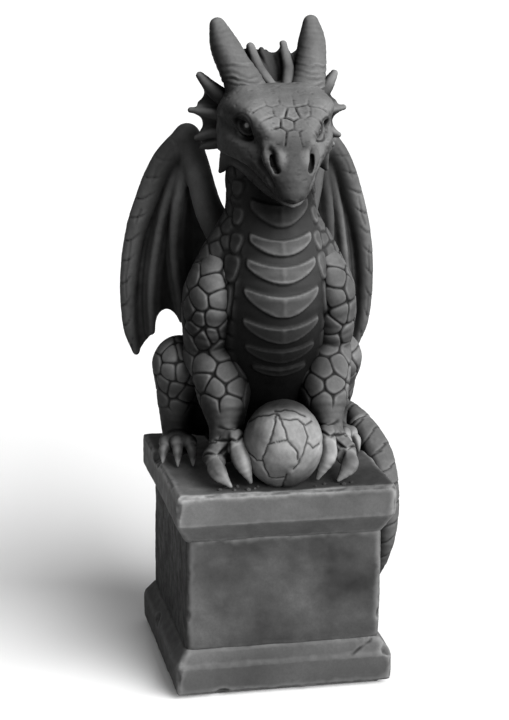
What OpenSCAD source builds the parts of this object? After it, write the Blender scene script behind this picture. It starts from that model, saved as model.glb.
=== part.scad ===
// Seated dragon on a stone plinth, a table-top miniature cast in resin and glued up from keyed pieces.
// Millimetres. The figure faces -Y, +Z is up, and the origin is the centre of the plinth's resting face.
// Left and right are the dragon's own, so its left side is +X.

/* [Plinth] */
// Width and depth of the square base slab and cap slab
base_w = 30; // [29:0.5:32]
// Width of the square shaft between the two slabs
shaft_w = 27; // [25:0.5:27.5]
// Thickness of the felt pad under the base
pad_t = 0.6; // [0.4:0.1:1]
// Height of the base slab's upright face, above the pad
base_slab_h = 4.2; // [3.5:0.1:5]
// Height of the sloping moulding on top of the base slab
base_slope_h = 2; // [1.5:0.1:2.5]
// Height of the plain shaft
shaft_h = 15.2; // [13:0.1:17]
// Height of the hollow moulding under the cap slab
cap_slope_h = 2.8; // [2:0.1:3.5]
// Thickness of the cap slab
cap_slab_h = 4.2; // [3.5:0.1:5]

/* [Orb] */
// Radius of the orb across
orb_r = 5.3; // [5:0.1:5.4]
// Half height of the orb, which is a little taller than it is wide
orb_half_h = 5.9; // [5.6:0.1:6.1]
// How far the orb sits down in its seat in the cap
orb_sink = 0.4; // [0.3:0.1:0.8]

/* [Pose] */
// How far the head leans to the dragon's right, in degrees
head_lean = 2.5; // [0:0.5:4]
// How far the hips sit to the dragon's right of the middle
hip_shift = 0.6; // [0:0.1:0.8]

/* [Joints] */
// Side of the square glue keys on the limbs
key_w = 1.8; // [1.4:0.1:2.2]
// Room for glue all round a key
glue_gap = 0.05; // [0.02:0.01:0.1]

/* [Hidden] */

base_top = pad_t + base_slab_h;
shaft_bottom = base_top + base_slope_h;
shaft_top = shaft_bottom + shaft_h;
slab_bottom = shaft_top + cap_slope_h;
cap_top = slab_bottom + cap_slab_h;
spigot_w = 12;
spigot_h = 1.2;
orb_y = -11.2;
head_pivot_z = 44;

stone = "dimgray";
scales = "darkslategray";
bone = "gray";
felt = "black";

// ---- Shapes that repeat. Places on the dragon are measured from the middle of the cap's top face. ----

// One point of a smooth curve through b and c, at t from 0 to 1
function on_curve(a, b, c, d, t) =
    0.5 * (2 * b + (c - a) * t + (2 * a - 5 * b + 4 * c - d) * t * t + (3 * b - a - 3 * c + d) * t * t * t);

// A list of stations, with n steps between each pair, along one smooth curve
function smooth(s, n) =
    [for (i = [0:len(s) - 2], k = [0:n - 1])
        on_curve(s[max(i - 1, 0)], s[i], s[i + 1], s[min(i + 2, len(s) - 1)], k / n),
     s[len(s) - 1]];

// A point of a station list, at t from 0 to 1 of its length in stations
function at(s, t) =
    let (f = t * (len(s) - 1), i = min(floor(f), len(s) - 2))
    on_curve(s[max(i - 1, 0)], s[i], s[i + 1], s[min(i + 2, len(s) - 1)], f - i);

// A station is [x, y, z, radius] or [x, y, z, radius x, radius y, radius z]
module ball(s, sides = 12) {
    translate([s[0], s[1], s[2]])
        scale(len(s) > 4 ? [s[3], s[4], s[5]] : [s[3], s[3], s[3]])
            sphere(r = 1, $fn = sides);
}

// Flesh between successive stations
module limb(stations, steps = 2, sides = 12) {
    s = smooth(stations, steps);
    for (i = [0:len(s) - 2])
        hull() {
            ball(s[i], sides);
            ball(s[i + 1], sides);
        }
}

// A curved talon: from its root down to its point
module claw(root, bend, tip, r) {
    limb([[root[0], root[1], root[2], r], [bend[0], bend[1], bend[2], r * 0.8], [tip[0], tip[1], tip[2], 0.3]], 2, 8);
}

// The dragon's left side as drawn, or mirrored to its right side
module side(s) {
    if (s > 0) children();
    else mirror([1, 0, 0]) children();
}

// Everything below the cap's top face, to trim flat what stands on it
module below_cap() translate([-base_w, -base_w, cap_top - 2 * base_w]) cube(2 * base_w);

module on_cap() translate([0, 0, cap_top]) children();

// The head leans about a point behind the jaw
module on_head()
    on_cap() translate([0, 0, head_pivot_z]) rotate([0, -head_lean, 0]) translate([0, 0, -head_pivot_z]) children();

module on_hips() on_cap() translate([-hip_shift, 0, 0]) children();

// Square glue key, its middle at p, pointing along d
module key(p, d, length, grow = 0) {
    translate(p)
        rotate([0, acos(d[2] / norm(d)), atan2(d[1], d[0])])
            cube([key_w + 2 * grow, key_w + 2 * grow, length + 2 * grow], center = true);
}

// ---- Plinth ----

module felt_pad() {
    inset = 0.6;
    color(felt)
        translate([0, 0, pad_t / 2])
            cube([base_w - 2 * inset, base_w - 2 * inset, pad_t], center = true);
}

// A square moulding: the same side profile run round four sides. Profile points are [half width, z].
module square_moulding(profile) {
    outline = concat([for (p = profile) [p[0], p[1]]],
                     [for (i = [len(profile) - 1:-1:0]) [-profile[i][0], profile[i][1]]]);
    reach = 2 * base_w;
    intersection() {
        rotate([90, 0, 0]) linear_extrude(reach, center = true) polygon(outline);
        rotate([90, 0, 90]) linear_extrude(reach, center = true) polygon(outline);
    }
}

module plinth_base() {
    h = base_w / 2;
    s = shaft_w / 2;
    chamfer = 0.4;
    color(stone)
        difference() {
            square_moulding([[h - chamfer, pad_t], [h, pad_t + chamfer], [h, base_top - chamfer],
                             [h - chamfer / 2, base_top], [s, shaft_bottom]]);
            translate([0, 0, shaft_bottom])
                cube([spigot_w + 2 * glue_gap, spigot_w + 2 * glue_gap, 2 * (spigot_h + glue_gap)], center = true);
        }
}

module plinth_shaft() {
    color(stone)
        union() {
            translate([-shaft_w / 2, -shaft_w / 2, shaft_bottom]) cube([shaft_w, shaft_w, shaft_h]);
            translate([-spigot_w / 2, -spigot_w / 2, shaft_bottom - spigot_h])
                cube([spigot_w, spigot_w, shaft_h + 2 * spigot_h]);
        }
}

module plinth_cap() {
    h = base_w / 2;
    s = shaft_w / 2;
    chamfer = 0.4;
    hollow = [for (a = [0:22.5:90]) [h - (h - s) * sin(90 - a), shaft_top + cap_slope_h * (1 - cos(a))]];
    color(stone)
        difference() {
            square_moulding(concat(hollow, [[h, slab_bottom + chamfer], [h, cap_top - chamfer], [h - chamfer, cap_top]]));
            translate([0, 0, shaft_top])
                cube([spigot_w + 2 * glue_gap, spigot_w + 2 * glue_gap, 2 * (spigot_h + glue_gap)], center = true);
            orb_shape(glue_gap);
            on_cap() for (s = [-1, 1]) side(s) foot_key(fore_key, glue_gap);
            on_hips() for (s = [-1, 1]) side(s) foot_key(hind_key, glue_gap);
            on_cap() foot_key(rump_key, glue_gap);
        }
}

// ---- Orb, which stands in a shallow seat near the cap's front edge ----

orb_z = cap_top + orb_half_h - orb_sink;

module orb_shape(grow = 0) {
    points = 20;
    profile = [for (i = [0:points]) let (a = -90 + 180 * i / points)
        [max((orb_r + grow) * cos(a), 0), (orb_half_h + grow) * sin(a)]];
    translate([0, orb_y, orb_z]) rotate_extrude($fn = 48) polygon(profile);
}

module orb() color(bone) orb_shape();

// ---- Keys under the feet and rump: [x, y] on the cap ----

fore_key = [7.6, -7.4];
hind_key = [11.6, 3.4];
rump_key = [0, 7];
foot_key_h = 1.2;

module foot_key(p, grow = 0) {
    w = key_w + 2 * grow;
    translate([p[0] - w / 2, p[1] - w / 2, -foot_key_h - grow]) cube([w, w, foot_key_h + grow + 1]);
}

// ---- Torso with the neck ----

spine = [
    [0, 6.0, 4.5, 8.2, 7.6, 6.0],
    [0, 3.4, 10.0, 8.5, 9.0, 5.5],
    [0, 0.6, 16.5, 8.0, 9.2, 5.0],
    [0, -1.6, 23.5, 7.7, 9.0, 4.5],
    [0, -2.2, 29.5, 7.0, 7.6, 4.0],
    [0, -2.0, 35.5, 5.9, 6.1, 4.0],
    [0, -2.0, 41.0, 5.2, 5.1, 4.0],
    [0, -1.6, 44.5, 4.6, 4.6, 3.0]
];

module torso_shape() on_cap() limb(spine, 2, 24);

limb_key_h = 5;
sideways = [1, 0, 0];
neck_key = [0, -1.6, 48];
neck_key_h = 4;
shoulder_key = [6.4, -2.0, 26.5];
hip_key = [8.0, 7.0, 9.0];
wing_key = [3.6, 5.0, 30.0];
wing_key_run = [0.4, 1, 0];
tail_key = [2.4, 12.6, 4.6];
tail_key_run = [0.3, 1, 0];
jaw_key = [0, -9.6, 41.4];
jaw_key_h = 5;

module torso() {
    color(scales)
        union() {
            difference() {
                torso_shape();
                below_cap();
                on_cap() for (s = [-1, 1]) side(s) {
                    key(shoulder_key, sideways, limb_key_h, glue_gap);
                    key(wing_key, wing_key_run, limb_key_h, glue_gap);
                }
                on_hips() for (s = [-1, 1]) side(s) key(hip_key, sideways, limb_key_h, glue_gap);
                on_cap() key(tail_key, tail_key_run, limb_key_h, glue_gap);
            }
            on_cap() key(neck_key, [0, 0, 1], neck_key_h);
            on_cap() foot_key(rump_key);
        }
}

// ---- Head: skull with the upper jaw, then the lower jaw, horns, crest and frills that are glued to it ----

module skull_half() {
    brow = [4.3, -7.0, 49.2, 2.3, 2.6, 1.9];
    cheek = [4.7, -2.6, 44.6, 3.1, 3.4, 3.2];
    temple = [3.9, -0.4, 48.4, 3.5, 4.0, 4.0];
    limb([temple, brow, [2.0, -9.6, 47.2, 2.4, 2.4, 2.2]]);
    limb([temple, cheek, [3.2, -7.2, 43.4, 2.5, 3.2, 2.3], [1.7, -12.0, 41.2, 1.6, 2.2, 1.8]]);
}

module skull_middle() {
    limb([[0, 0.6, 47.4, 5.4, 4.4, 4.2], [0, -3.8, 49.2, 5.4, 4.6, 4.0], [0, -8.2, 47.0, 4.0, 3.2, 3.2],
          [0, -11.4, 44.4, 3.0, 3.0, 3.0], [0, -13.4, 42.2, 2.8, 2.4, 2.6], [0, -14.2, 40.2, 1.9, 1.5, 1.7]], 2, 16);
}

module head_shape() on_head() {
    skull_middle();
    for (s = [-1, 1]) side(s) skull_half();
}

module head() {
    color(scales)
        difference() {
            head_shape();
            torso_shape();
            on_cap() key(neck_key, [0, 0, 1], neck_key_h, glue_gap);
            on_head() {
                key(jaw_key, [0, 0, 1], jaw_key_h, glue_gap);
                for (s = [-1, 1]) side(s) {
                    horn_shape();
                    frill_shape();
                }
                crest_shape();
            }
        }
}

module jaw_shape() on_head()
    for (s = [-1, 1]) side(s) {
        limb([[5.1, -2.2, 42.2, 2.1, 2.4, 1.9], [3.6, -6.2, 40.4, 1.9, 2.4, 1.6],
              [1.9, -10.2, 39.0, 1.5, 2.0, 1.2], [0.3, -12.8, 38.4, 1.1, 0.9, 0.8]], 2, 10);
        hull() {
            ball([3.2, -5.0, 40.4, 1.4], 10);
            ball([0, -11.4, 39.0, 1.1], 10);
            ball([0, -5.0, 40.4, 1.4], 10);
        }
    }

module lower_jaw() {
    color(scales)
        union() {
            difference() {
                jaw_shape();
                head_shape();
                torso_shape();
            }
            on_head() key(jaw_key, [0, 0, 1], jaw_key_h);
        }
}

module horn_shape()
    limb([[4.5, -2.0, 50.6, 3.1], [5.3, -1.0, 54.2, 2.8], [5.9, 0.0, 57.4, 2.1], [6.2, 0.6, 59.6, 1.5]], 2, 16);

module horn(s) color(bone) on_head() side(s) horn_shape();

// Webs between spines that fan out of one edge. Each spine is [root, tip], and the webs reach part of the way.
module webbed_fan(spines, r, web) {
    for (sp = spines)
        hull() {
            ball([sp[0][0], sp[0][1], sp[0][2], r], 10);
            ball([sp[1][0], sp[1][1], sp[1][2], r * 0.45], 10);
        }
    for (i = [0:len(spines) - 2])
        hull()
            for (sp = [spines[i], spines[i + 1]], t = [0, web])
                let (p = sp[0] + (sp[1] - sp[0]) * t) ball([p[0], p[1], p[2], r * 0.5], 8);
}

crest_spines = [for (x = [-3.0, -1.5, 0.1, 1.9, 3.4]) [[0.8 * x, -0.8, 51.2], [x, 0.8, 57.6 - 0.08 * x * x]]];

module crest_shape() webbed_fan(crest_spines, 1.0, 0.8);

module crest() {
    color(scales)
        on_head()
            difference() {
                crest_shape();
                for (s = [-1, 1]) side(s) horn_shape();
            }
}

frill_spines = [
    [[5.6, -0.4, 50.6], [9.7, 1.6, 53.6]],
    [[6.2, -0.2, 48.2], [10.6, 1.8, 48.6]],
    [[6.4, 0.0, 45.8], [9.9, 1.8, 44.8]],
    [[6.0, 0.4, 43.6], [9.0, 2.0, 42.7]]
];

module frill_shape() {
    webbed_fan(frill_spines, 0.9, 0.62);
    hull() for (sp = frill_spines) ball([sp[0][0], sp[0][1], sp[0][2], 0.9], 10);
}

module ear_frill(s) {
    color(scales)
        difference() {
            on_head() side(s)
                difference() {
                    frill_shape();
                    horn_shape();
                }
            torso_shape();
        }
}

// ---- Wings: arm, leading finger, two ribs, and the skin between them ----

arm = [[3.8, 5.6, 29.0, 2.6], [6.4, 7.2, 34.0, 2.2], [7.9, 8.6, 40.6, 2.0], [9.4, 9.8, 44.3, 1.8]];
lead = [[9.4, 9.8, 44.3, 1.8], [12.4, 11.0, 40.7, 1.6], [14.6, 11.9, 35.6, 1.4], [16.5, 12.6, 29.4, 1.2],
        [17.3, 12.9, 22.6, 1.1], [17.1, 13.0, 16.4, 0.9], [16.2, 13.0, 12.8, 0.6]];
rib_out = [[9.6, 10.0, 42.6, 0.8], [12.4, 11.2, 34.6, 0.8], [14.0, 11.8, 27.6, 0.8], [14.5, 12.0, 21.6, 0.7],
           [14.2, 12.0, 16.2, 0.5]];
rib_in = [[9.2, 9.6, 42.0, 0.8], [11.2, 10.3, 34.4, 0.8], [11.5, 10.4, 28.6, 0.7], [10.9, 10.2, 23.0, 0.7],
          [9.7, 9.6, 18.2, 0.5]];
root_edge = [[7.6, 8.4, 40.0, 0.6], [6.0, 7.6, 32.0, 0.6], [5.6, 7.8, 26.0, 0.6], [6.2, 8.4, 19.0, 0.5]];

module skin(a, b, reach) {
    steps = 5;
    for (i = [0:steps - 1])
        hull()
            for (f = [a, b], t = [i, i + 1])
                let (p = at(f, reach * t / steps)) ball([p[0], p[1], p[2], 0.5], 8);
}

module wing_shape() on_cap() {
    limb(arm, 2, 12);
    limb(lead, 2, 10);
    limb(rib_out, 1, 8);
    limb(rib_in, 1, 8);
    skin(lead, rib_out, 0.97);
    skin(rib_out, rib_in, 0.94);
    skin(rib_in, root_edge, 0.97);
}

module wing(s) {
    color(scales)
        side(s)
            union() {
                difference() {
                    wing_shape();
                    torso_shape();
                }
                on_cap() key(wing_key, wing_key_run, limb_key_h);
            }
}

// ---- Forelegs, braced either side of the orb ----

module paw(wrist, toes, r) {
    for (t = toes) {
        limb([[wrist[0], wrist[1], wrist[2], r], [t[0][0], t[0][1], t[0][2], r * 0.62]], 1, 10);
        claw(t[0] - [0, 0.6, 0.9], t[1], t[2], 0.58 * r);
    }
}

fore_toes = [
    [[6.3, -10.0, 6.6], [5.7, -12.6, 3.8], [4.6, -12.2, 0.8]],
    [[9.3, -9.4, 4.6], [9.4, -12.0, 2.6], [7.4, -12.6, 0.4]]
];

module foreleg_shape() on_cap() {
    limb([[7.2, -1.2, 29.4, 3.2, 4.2, 3.4], [8.2, -1.8, 24.5, 4.0, 4.8, 4.4], [8.4, -1.4, 19.0, 3.9, 4.2, 3.6],
          [8.6, -0.8, 15.4, 3.2, 3.3, 2.8]], 2, 16);
    limb([[8.7, -0.8, 15.6, 3.3], [7.6, -3.2, 13.6, 3.9, 3.2, 3.2], [7.2, -5.2, 10.0, 3.1], [6.9, -6.8, 7.0, 2.4],
          [7.2, -7.6, 3.6, 2.4]], 2, 14);
    hull() {
        ball([7.2, -7.4, 3.4, 2.3]);
        ball([8.2, -8.2, 2.0, 1.6]);
    }
    paw([7.3, -7.6, 5.0], fore_toes, 2.0);
}

module foreleg(s) {
    color(scales)
        side(s)
            union() {
                difference() {
                    foreleg_shape();
                    torso_shape();
                    below_cap();
                    orb_shape(glue_gap);
                }
                on_cap() key(shoulder_key, sideways, limb_key_h);
                on_cap() foot_key(fore_key);
            }
}

// ---- Hind legs, folded with the knees up beside the belly ----

hind_toes = [
    [[10.6, -0.4, 3.2], [10.5, -2.0, 2.0], [10.5, -2.6, 0.3]],
    [[12.3, -0.2, 3.2], [12.5, -1.8, 2.0], [12.6, -2.4, 0.3]],
    [[13.6, 1.2, 2.8], [14.2, 0.0, 1.8], [14.4, -0.6, 0.3]]
];

module hindleg_shape() {
    limb([[7.4, 7.6, 8.0, 5.2, 5.6, 6.4], [9.2, 5.4, 11.6, 4.6, 4.8, 5.0], [11.2, 2.6, 13.8, 4.0, 3.8, 4.0]], 2, 16);
    limb([[11.4, 2.8, 13.6, 3.7, 3.6, 3.6], [11.4, 4.6, 8.6, 2.9, 3.2, 3.0], [11.5, 5.0, 4.6, 2.3, 2.6, 2.6],
          [11.7, 3.4, 2.2, 2.1, 2.4, 2.0], [11.9, 1.4, 2.4, 2.2, 2.0, 1.9]], 2, 12);
    paw([11.9, 1.6, 2.9], hind_toes, 1.5);
}

module hindleg(s) {
    color(scales)
        union() {
            difference() {
                on_hips() side(s) hindleg_shape();
                torso_shape();
                side(s) foreleg_shape();
                below_cap();
            }
            on_hips() side(s) {
                key(hip_key, sideways, limb_key_h);
                foot_key(hind_key);
            }
        }
}

// ---- Tail: round the rump on the cap, over the cap's left edge, and down beside the shaft ----

tail_line = [
    [1.5, 12.6, 4.4, 3.9], [8.0, 13.2, 3.4, 3.3], [12.6, 10.2, 2.8, 2.8], [14.8, 5.6, 1.9, 2.5], [16.6, 1.6, -1.2, 2.4],
    [17.2, -0.6, -6.2, 2.2], [17.2, -0.8, -11.6, 1.9], [16.8, -0.2, -16.0, 1.3], [16.2, 0.8, -19.3, 0.6]
];
tail_peg = [14.8, 5.6, 1.9];
tail_peg_run = [0.4, -0.75, -0.5];

module tail_shape() on_cap() limb(tail_line, 2, 14);

// The side of the glue joint that the tip is on
module tip_side()
    on_cap() translate(tail_peg)
        rotate([0, acos(tail_peg_run[2] / norm(tail_peg_run)), atan2(tail_peg_run[1], tail_peg_run[0])])
            translate([-base_w, -base_w, 0]) cube(2 * base_w);

module tail_clear() {
    torso_shape();
    on_hips() for (s = [-1, 1]) side(s) hindleg_shape();
    translate([-base_w / 2, -base_w / 2, 0]) cube([base_w, base_w, cap_top]);
}

module tail_root() {
    color(scales)
        union() {
            difference() {
                tail_shape();
                tail_clear();
                tip_side();
            }
            on_cap() key(tail_key, tail_key_run, limb_key_h);
            on_cap() key(tail_peg, tail_peg_run, limb_key_h);
        }
}

module tail_tip() {
    color(scales)
        difference() {
            intersection() {
                tail_shape();
                tip_side();
            }
            tail_clear();
            on_cap() key(tail_peg, tail_peg_run, limb_key_h, glue_gap);
        }
}

felt_pad();
plinth_base();
plinth_shaft();
plinth_cap();
orb();
torso();
head();
lower_jaw();
horn(1);  // horn_left
horn(-1);  // horn_right
crest();
ear_frill(1);  // ear_frill_left
ear_frill(-1);  // ear_frill_right
wing(1);  // wing_left
wing(-1);  // wing_right
foreleg(1);  // foreleg_left
foreleg(-1);  // foreleg_right
hindleg(1);  // hindleg_left
hindleg(-1);  // hindleg_right
tail_root();
tail_tip();
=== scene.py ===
# Seated dragon on a stone plinth: a resin table-top miniature, cast in pieces, glued up and painted in
# stone greys.
from math import cos, pi, radians, sin

import bmesh
import bpy
import numpy as np
from mathutils import Matrix, Vector


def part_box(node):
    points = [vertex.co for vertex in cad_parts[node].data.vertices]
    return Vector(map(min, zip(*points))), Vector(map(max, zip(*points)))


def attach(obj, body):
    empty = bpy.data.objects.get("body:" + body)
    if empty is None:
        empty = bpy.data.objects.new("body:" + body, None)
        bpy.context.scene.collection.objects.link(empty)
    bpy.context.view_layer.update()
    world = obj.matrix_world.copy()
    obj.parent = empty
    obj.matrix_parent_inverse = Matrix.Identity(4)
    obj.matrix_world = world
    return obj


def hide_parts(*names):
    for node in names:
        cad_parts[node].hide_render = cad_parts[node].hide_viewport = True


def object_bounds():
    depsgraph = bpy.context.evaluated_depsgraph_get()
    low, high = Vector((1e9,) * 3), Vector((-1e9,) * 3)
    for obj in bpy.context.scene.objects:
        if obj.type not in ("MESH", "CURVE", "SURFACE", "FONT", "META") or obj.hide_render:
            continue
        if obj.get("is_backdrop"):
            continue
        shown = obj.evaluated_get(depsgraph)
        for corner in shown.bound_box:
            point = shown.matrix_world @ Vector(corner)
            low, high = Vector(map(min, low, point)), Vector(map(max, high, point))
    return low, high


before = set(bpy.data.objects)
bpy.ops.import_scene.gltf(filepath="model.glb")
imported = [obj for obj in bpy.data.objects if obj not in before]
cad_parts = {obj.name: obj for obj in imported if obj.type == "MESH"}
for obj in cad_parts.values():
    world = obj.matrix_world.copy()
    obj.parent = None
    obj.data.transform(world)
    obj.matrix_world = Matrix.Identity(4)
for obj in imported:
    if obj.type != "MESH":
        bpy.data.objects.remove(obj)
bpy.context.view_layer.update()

MM = 0.001

# ---- Camera, floor and light ----
# A long lens a little above the figure and to the dragon's right. The floor is plain pale paper, and the
# light is a broad soft lamp from the front, above and to the dragon's left, with a weak pale surround.

camera_data = bpy.data.cameras.new("camera")
camera_data.lens = 100.05
camera_data.sensor_width = 36
camera_data.clip_end = 10
camera = bpy.data.objects.new("camera", camera_data)
bpy.context.scene.collection.objects.link(camera)
azimuth, elevation, roll = radians(-11.87), radians(14.67), radians(0.54)
turn = (Matrix.Rotation(azimuth, 4, "Z") @ Matrix.Rotation(pi / 2 - elevation, 4, "X")
        @ Matrix.Rotation(roll, 4, "Z"))
aim = Vector((-1.66, -0.13, 43.3)) * MM
camera.matrix_world = Matrix.Translation(aim) @ turn @ Matrix.Translation((0, 0, 276.3 * MM))
bpy.context.scene.camera = camera

bpy.ops.object.select_all(action="DESELECT")
bpy.ops.mesh.primitive_circle_add(vertices=96, radius=4, fill_type="NGON", location=(0, 0, 0))
floor = bpy.context.object
floor.name = "floor"
floor_paper = bpy.data.materials.new("floor_paper")
floor_paper.use_nodes = True
paper_shader = floor_paper.node_tree.nodes["Principled BSDF"]
paper_shader.inputs["Base Color"].default_value = (0.86, 0.86, 0.86, 1)
paper_shader.inputs["Roughness"].default_value = 0.9
paper_shader.inputs["Specular IOR Level"].default_value = 0.1
floor.data.materials.append(floor_paper)
floor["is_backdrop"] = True


def lamp(name, toward, strength, spread):
    """A sun lamp: toward is the direction it comes from, and spread softens its shadows."""
    data = bpy.data.lights.new(name, "SUN")
    data.energy = strength
    data.angle = radians(spread)
    sun = bpy.data.objects.new(name, data)
    sun.rotation_euler = Vector(toward).to_track_quat("Z", "Y").to_euler()
    bpy.context.scene.collection.objects.link(sun)


lamp("key_lamp", (0.55, -0.8, 0.42), 8.2, 60)
world = bpy.data.worlds.new("surround")
world.use_nodes = True
world.node_tree.nodes["Background"].inputs["Color"].default_value = (1, 1, 1, 1)
world.node_tree.nodes["Background"].inputs["Strength"].default_value = 0.3
bpy.context.scene.world = world
bpy.context.scene.view_settings.view_transform = "Standard"


# ---- Plinth base ----
# The lowest course of the plinth: a square slab with a sloping moulding, cast in resin and worn along its
# edges. It is a cube, drawn in at the top, bevelled, then carved over with chips and a crack.

def points_of(obj):
    """An object's points, in millimetres."""
    flat = np.zeros(len(obj.data.vertices) * 3, np.float32)
    obj.data.vertices.foreach_get("co", flat)
    return flat.reshape(-1, 3).astype(float) / MM


def set_points(obj, points):
    obj.data.vertices.foreach_set("co", (points * MM).astype(np.float32).ravel())
    obj.data.update()


def normals_of(obj):
    flat = np.zeros(len(obj.data.vertices) * 3, np.float32)
    obj.data.vertex_normals.foreach_get("vector", flat)
    return flat.reshape(-1, 3).astype(float)


def step_between(low, high, value):
    """0 below low, 1 above high, and smooth between."""
    t = np.clip((value - low) / (high - low), 0, 1)
    return t * t * (3 - 2 * t)


def lump(points, size, seed):
    """Smooth random lumps from -1 to 1, each about size across."""
    p = points / size + seed * 17.31
    cell = np.floor(p).astype(np.int64)
    f = p - cell
    f = f * f * f * (f * (f * 6 - 15) + 10)
    total = np.zeros(len(points))
    for corner in np.ndindex(2, 2, 2):
        c = cell + corner
        n = (c[:, 0] * 73856093) ^ (c[:, 1] * 19349663) ^ (c[:, 2] * 83492791) ^ (seed * 2654435)
        n = (n ^ (n >> 13)) * 1274126177
        value = ((n ^ (n >> 16)) & 65535) / 32767.5 - 1
        weight = np.prod(np.where(np.array(corner), f, 1 - f), axis=1)
        total += value * weight
    return total


def rough(points, size, seed):
    """Lumps of three sizes together."""
    return (lump(points, size, seed) + 0.5 * lump(points, size / 2.1, seed + 1)
            + 0.25 * lump(points, size / 4.3, seed + 2))


def spread_over(values, links, rounds, keep=0.0):
    """Evens values out over a mesh, along its edges."""
    a, b = links[:, 0], links[:, 1]
    count = np.bincount(np.concatenate([a, b]), minlength=len(values)).clip(1)
    out = values.copy()
    for _ in range(rounds):
        if out.ndim == 1:
            total = np.bincount(a, out[b], len(out)) + np.bincount(b, out[a], len(out))
            out = keep * out + (1 - keep) * total / count
        else:
            total = np.stack([np.bincount(a, out[b, k], len(out)) + np.bincount(b, out[a, k], len(out))
                              for k in range(3)], axis=1)
            out = keep * out + (1 - keep) * total / count[:, None]
    return out


def links_of(obj):
    flat = np.zeros(len(obj.data.edges) * 2, np.int32)
    obj.data.edges.foreach_get("vertices", flat)
    return flat.reshape(-1, 2)


def mark_relief(obj, rounds, depth):
    """Stores how far each point stands out of its neighbourhood, from -1 in a groove to 1 on an edge."""
    links = links_of(obj)
    points = points_of(obj)
    even = spread_over(points, links, rounds)
    out = np.einsum("ij,ij->i", points - even, normals_of(obj)) / depth
    out = spread_over(out, links, 1, 0.5)
    store(obj, "relief", np.clip(out, -1, 1))


def store(obj, name, values):
    layer = obj.data.attributes.get(name) or obj.data.attributes.new(name, "FLOAT", "POINT")
    layer.data.foreach_set("value", values.astype(np.float32))


def chip(obj, places, seed):
    """Knocks broken chips out of the edges: round each place the stone is planed back to a slanting face.
    Each place is x, y, z, the chip's width, and how deep it bites."""
    points = points_of(obj)
    inward = -spread_over(normals_of(obj), links_of(obj), 10)
    for at_x, at_y, at_z, wide, deep in places:
        off = np.linalg.norm(points - (at_x, at_y, at_z), axis=1)
        corner = points[np.argmin(off)]
        way = inward[np.argmin(off)]
        way = way / np.linalg.norm(way)
        depth = (points - corner) @ way
        off = np.linalg.norm(points - corner, axis=1)
        broken = deep * (1 - (off / wide) ** 2) + 0.12 * rough(points, 0.8, seed)
        lift = np.where(off < wide, np.clip(broken - depth, 0, deep), 0)
        points = points + way * lift[:, None]
    set_points(obj, points)


def near_line(points, line):
    """How far each point is from a line of straight stretches."""
    best = np.full(len(points), 1e9)
    for a, b in zip(line[:-1], line[1:]):
        a, b = np.array(a, float), np.array(b, float)
        run = b - a
        t = np.clip(((points - a) @ run) / (run @ run), 0, 1)
        best = np.minimum(best, np.linalg.norm(points - a - t[:, None] * run, axis=1))
    return best


def only_this(obj):
    bpy.ops.object.select_all(action="DESELECT")
    obj.select_set(True)
    bpy.context.view_layer.objects.active = obj


def remesh(obj, size):
    """Gives a piece an even mesh, fine enough to carve."""
    only_this(obj)
    fine = obj.modifiers.new("even", "REMESH")
    fine.mode = "VOXEL"
    fine.voxel_size = size * MM
    bpy.ops.object.modifier_apply(modifier="even")
    bpy.ops.object.shade_smooth()


def new_block(name, low, high):
    """A cube primitive that fills the box from low to high, in millimetres."""
    bpy.ops.object.select_all(action="DESELECT")
    low, high = Vector(low), Vector(high)
    bpy.ops.mesh.primitive_cube_add(size=1, location=(low + high) / 2 * MM, scale=(high - low) * MM)
    block = bpy.context.object
    block.name = name
    bpy.ops.object.transform_apply(location=True, rotation=True, scale=True)
    return block


def draw_in(obj, level, amount, rise):
    """Extrudes the face at that level by rise, drawn in on all four sides by amount."""
    only_this(obj)
    bpy.ops.object.mode_set(mode="EDIT")
    mesh = bmesh.from_edit_mesh(obj.data)
    bpy.ops.mesh.select_all(action="DESELECT")
    bpy.ops.mesh.select_mode(type="FACE")
    for face in mesh.faces:
        middle = face.calc_center_median()
        face.select = abs(middle.z / MM - level) < 0.01 and abs(face.normal.z) > 0.9
    bmesh.update_edit_mesh(obj.data)
    wide = max(v.co.x for f in mesh.faces if f.select for v in f.verts) / MM
    bpy.ops.mesh.extrude_region_move(TRANSFORM_OT_translate={"value": (0, 0, rise * MM)})
    narrow = (wide - amount) / wide
    bpy.ops.transform.resize(value=(narrow, narrow, 1), center_override=(0, 0, 0))
    bpy.ops.object.mode_set(mode="OBJECT")


def bevel_all(obj, width, segments):
    only_this(obj)
    soft = obj.modifiers.new("soft", "BEVEL")
    soft.width = width * MM
    soft.segments = segments
    bpy.ops.object.modifier_apply(modifier="soft")


def weather(obj, wear, seed):
    """Time on stone: uneven edges, a faint swell over the flats, and fine pitting."""
    points = points_of(obj)
    normals = normals_of(obj)
    links = links_of(obj)
    edge = np.clip(np.linalg.norm(spread_over(normals, links, 6), axis=1), 0, 1)
    edge = step_between(0.0, 0.12, 1 - edge)
    swell = 0.07 * rough(points, 6.0, seed) + 0.02 * rough(points, 1.1, seed + 7)
    bite = -wear * edge * (0.5 + 0.5 * rough(points, 1.9, seed + 3)).clip(0, 1)
    set_points(obj, points + normals * (swell + bite)[:, None])


def plug(tree, node, socket, value):
    """Joins a value or another node's output to a socket."""
    if isinstance(value, bpy.types.NodeSocket):
        tree.links.new(value, node.inputs[socket])
    else:
        node.inputs[socket].default_value = value


def ramp(tree, value, low, high, start=0.0, end=1.0):
    node = tree.nodes.new("ShaderNodeMapRange")
    plug(tree, node, "Value", value)
    node.inputs["From Min"].default_value = low
    node.inputs["From Max"].default_value = high
    node.inputs["To Min"].default_value = start
    node.inputs["To Max"].default_value = end
    return node.outputs["Result"]


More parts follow.
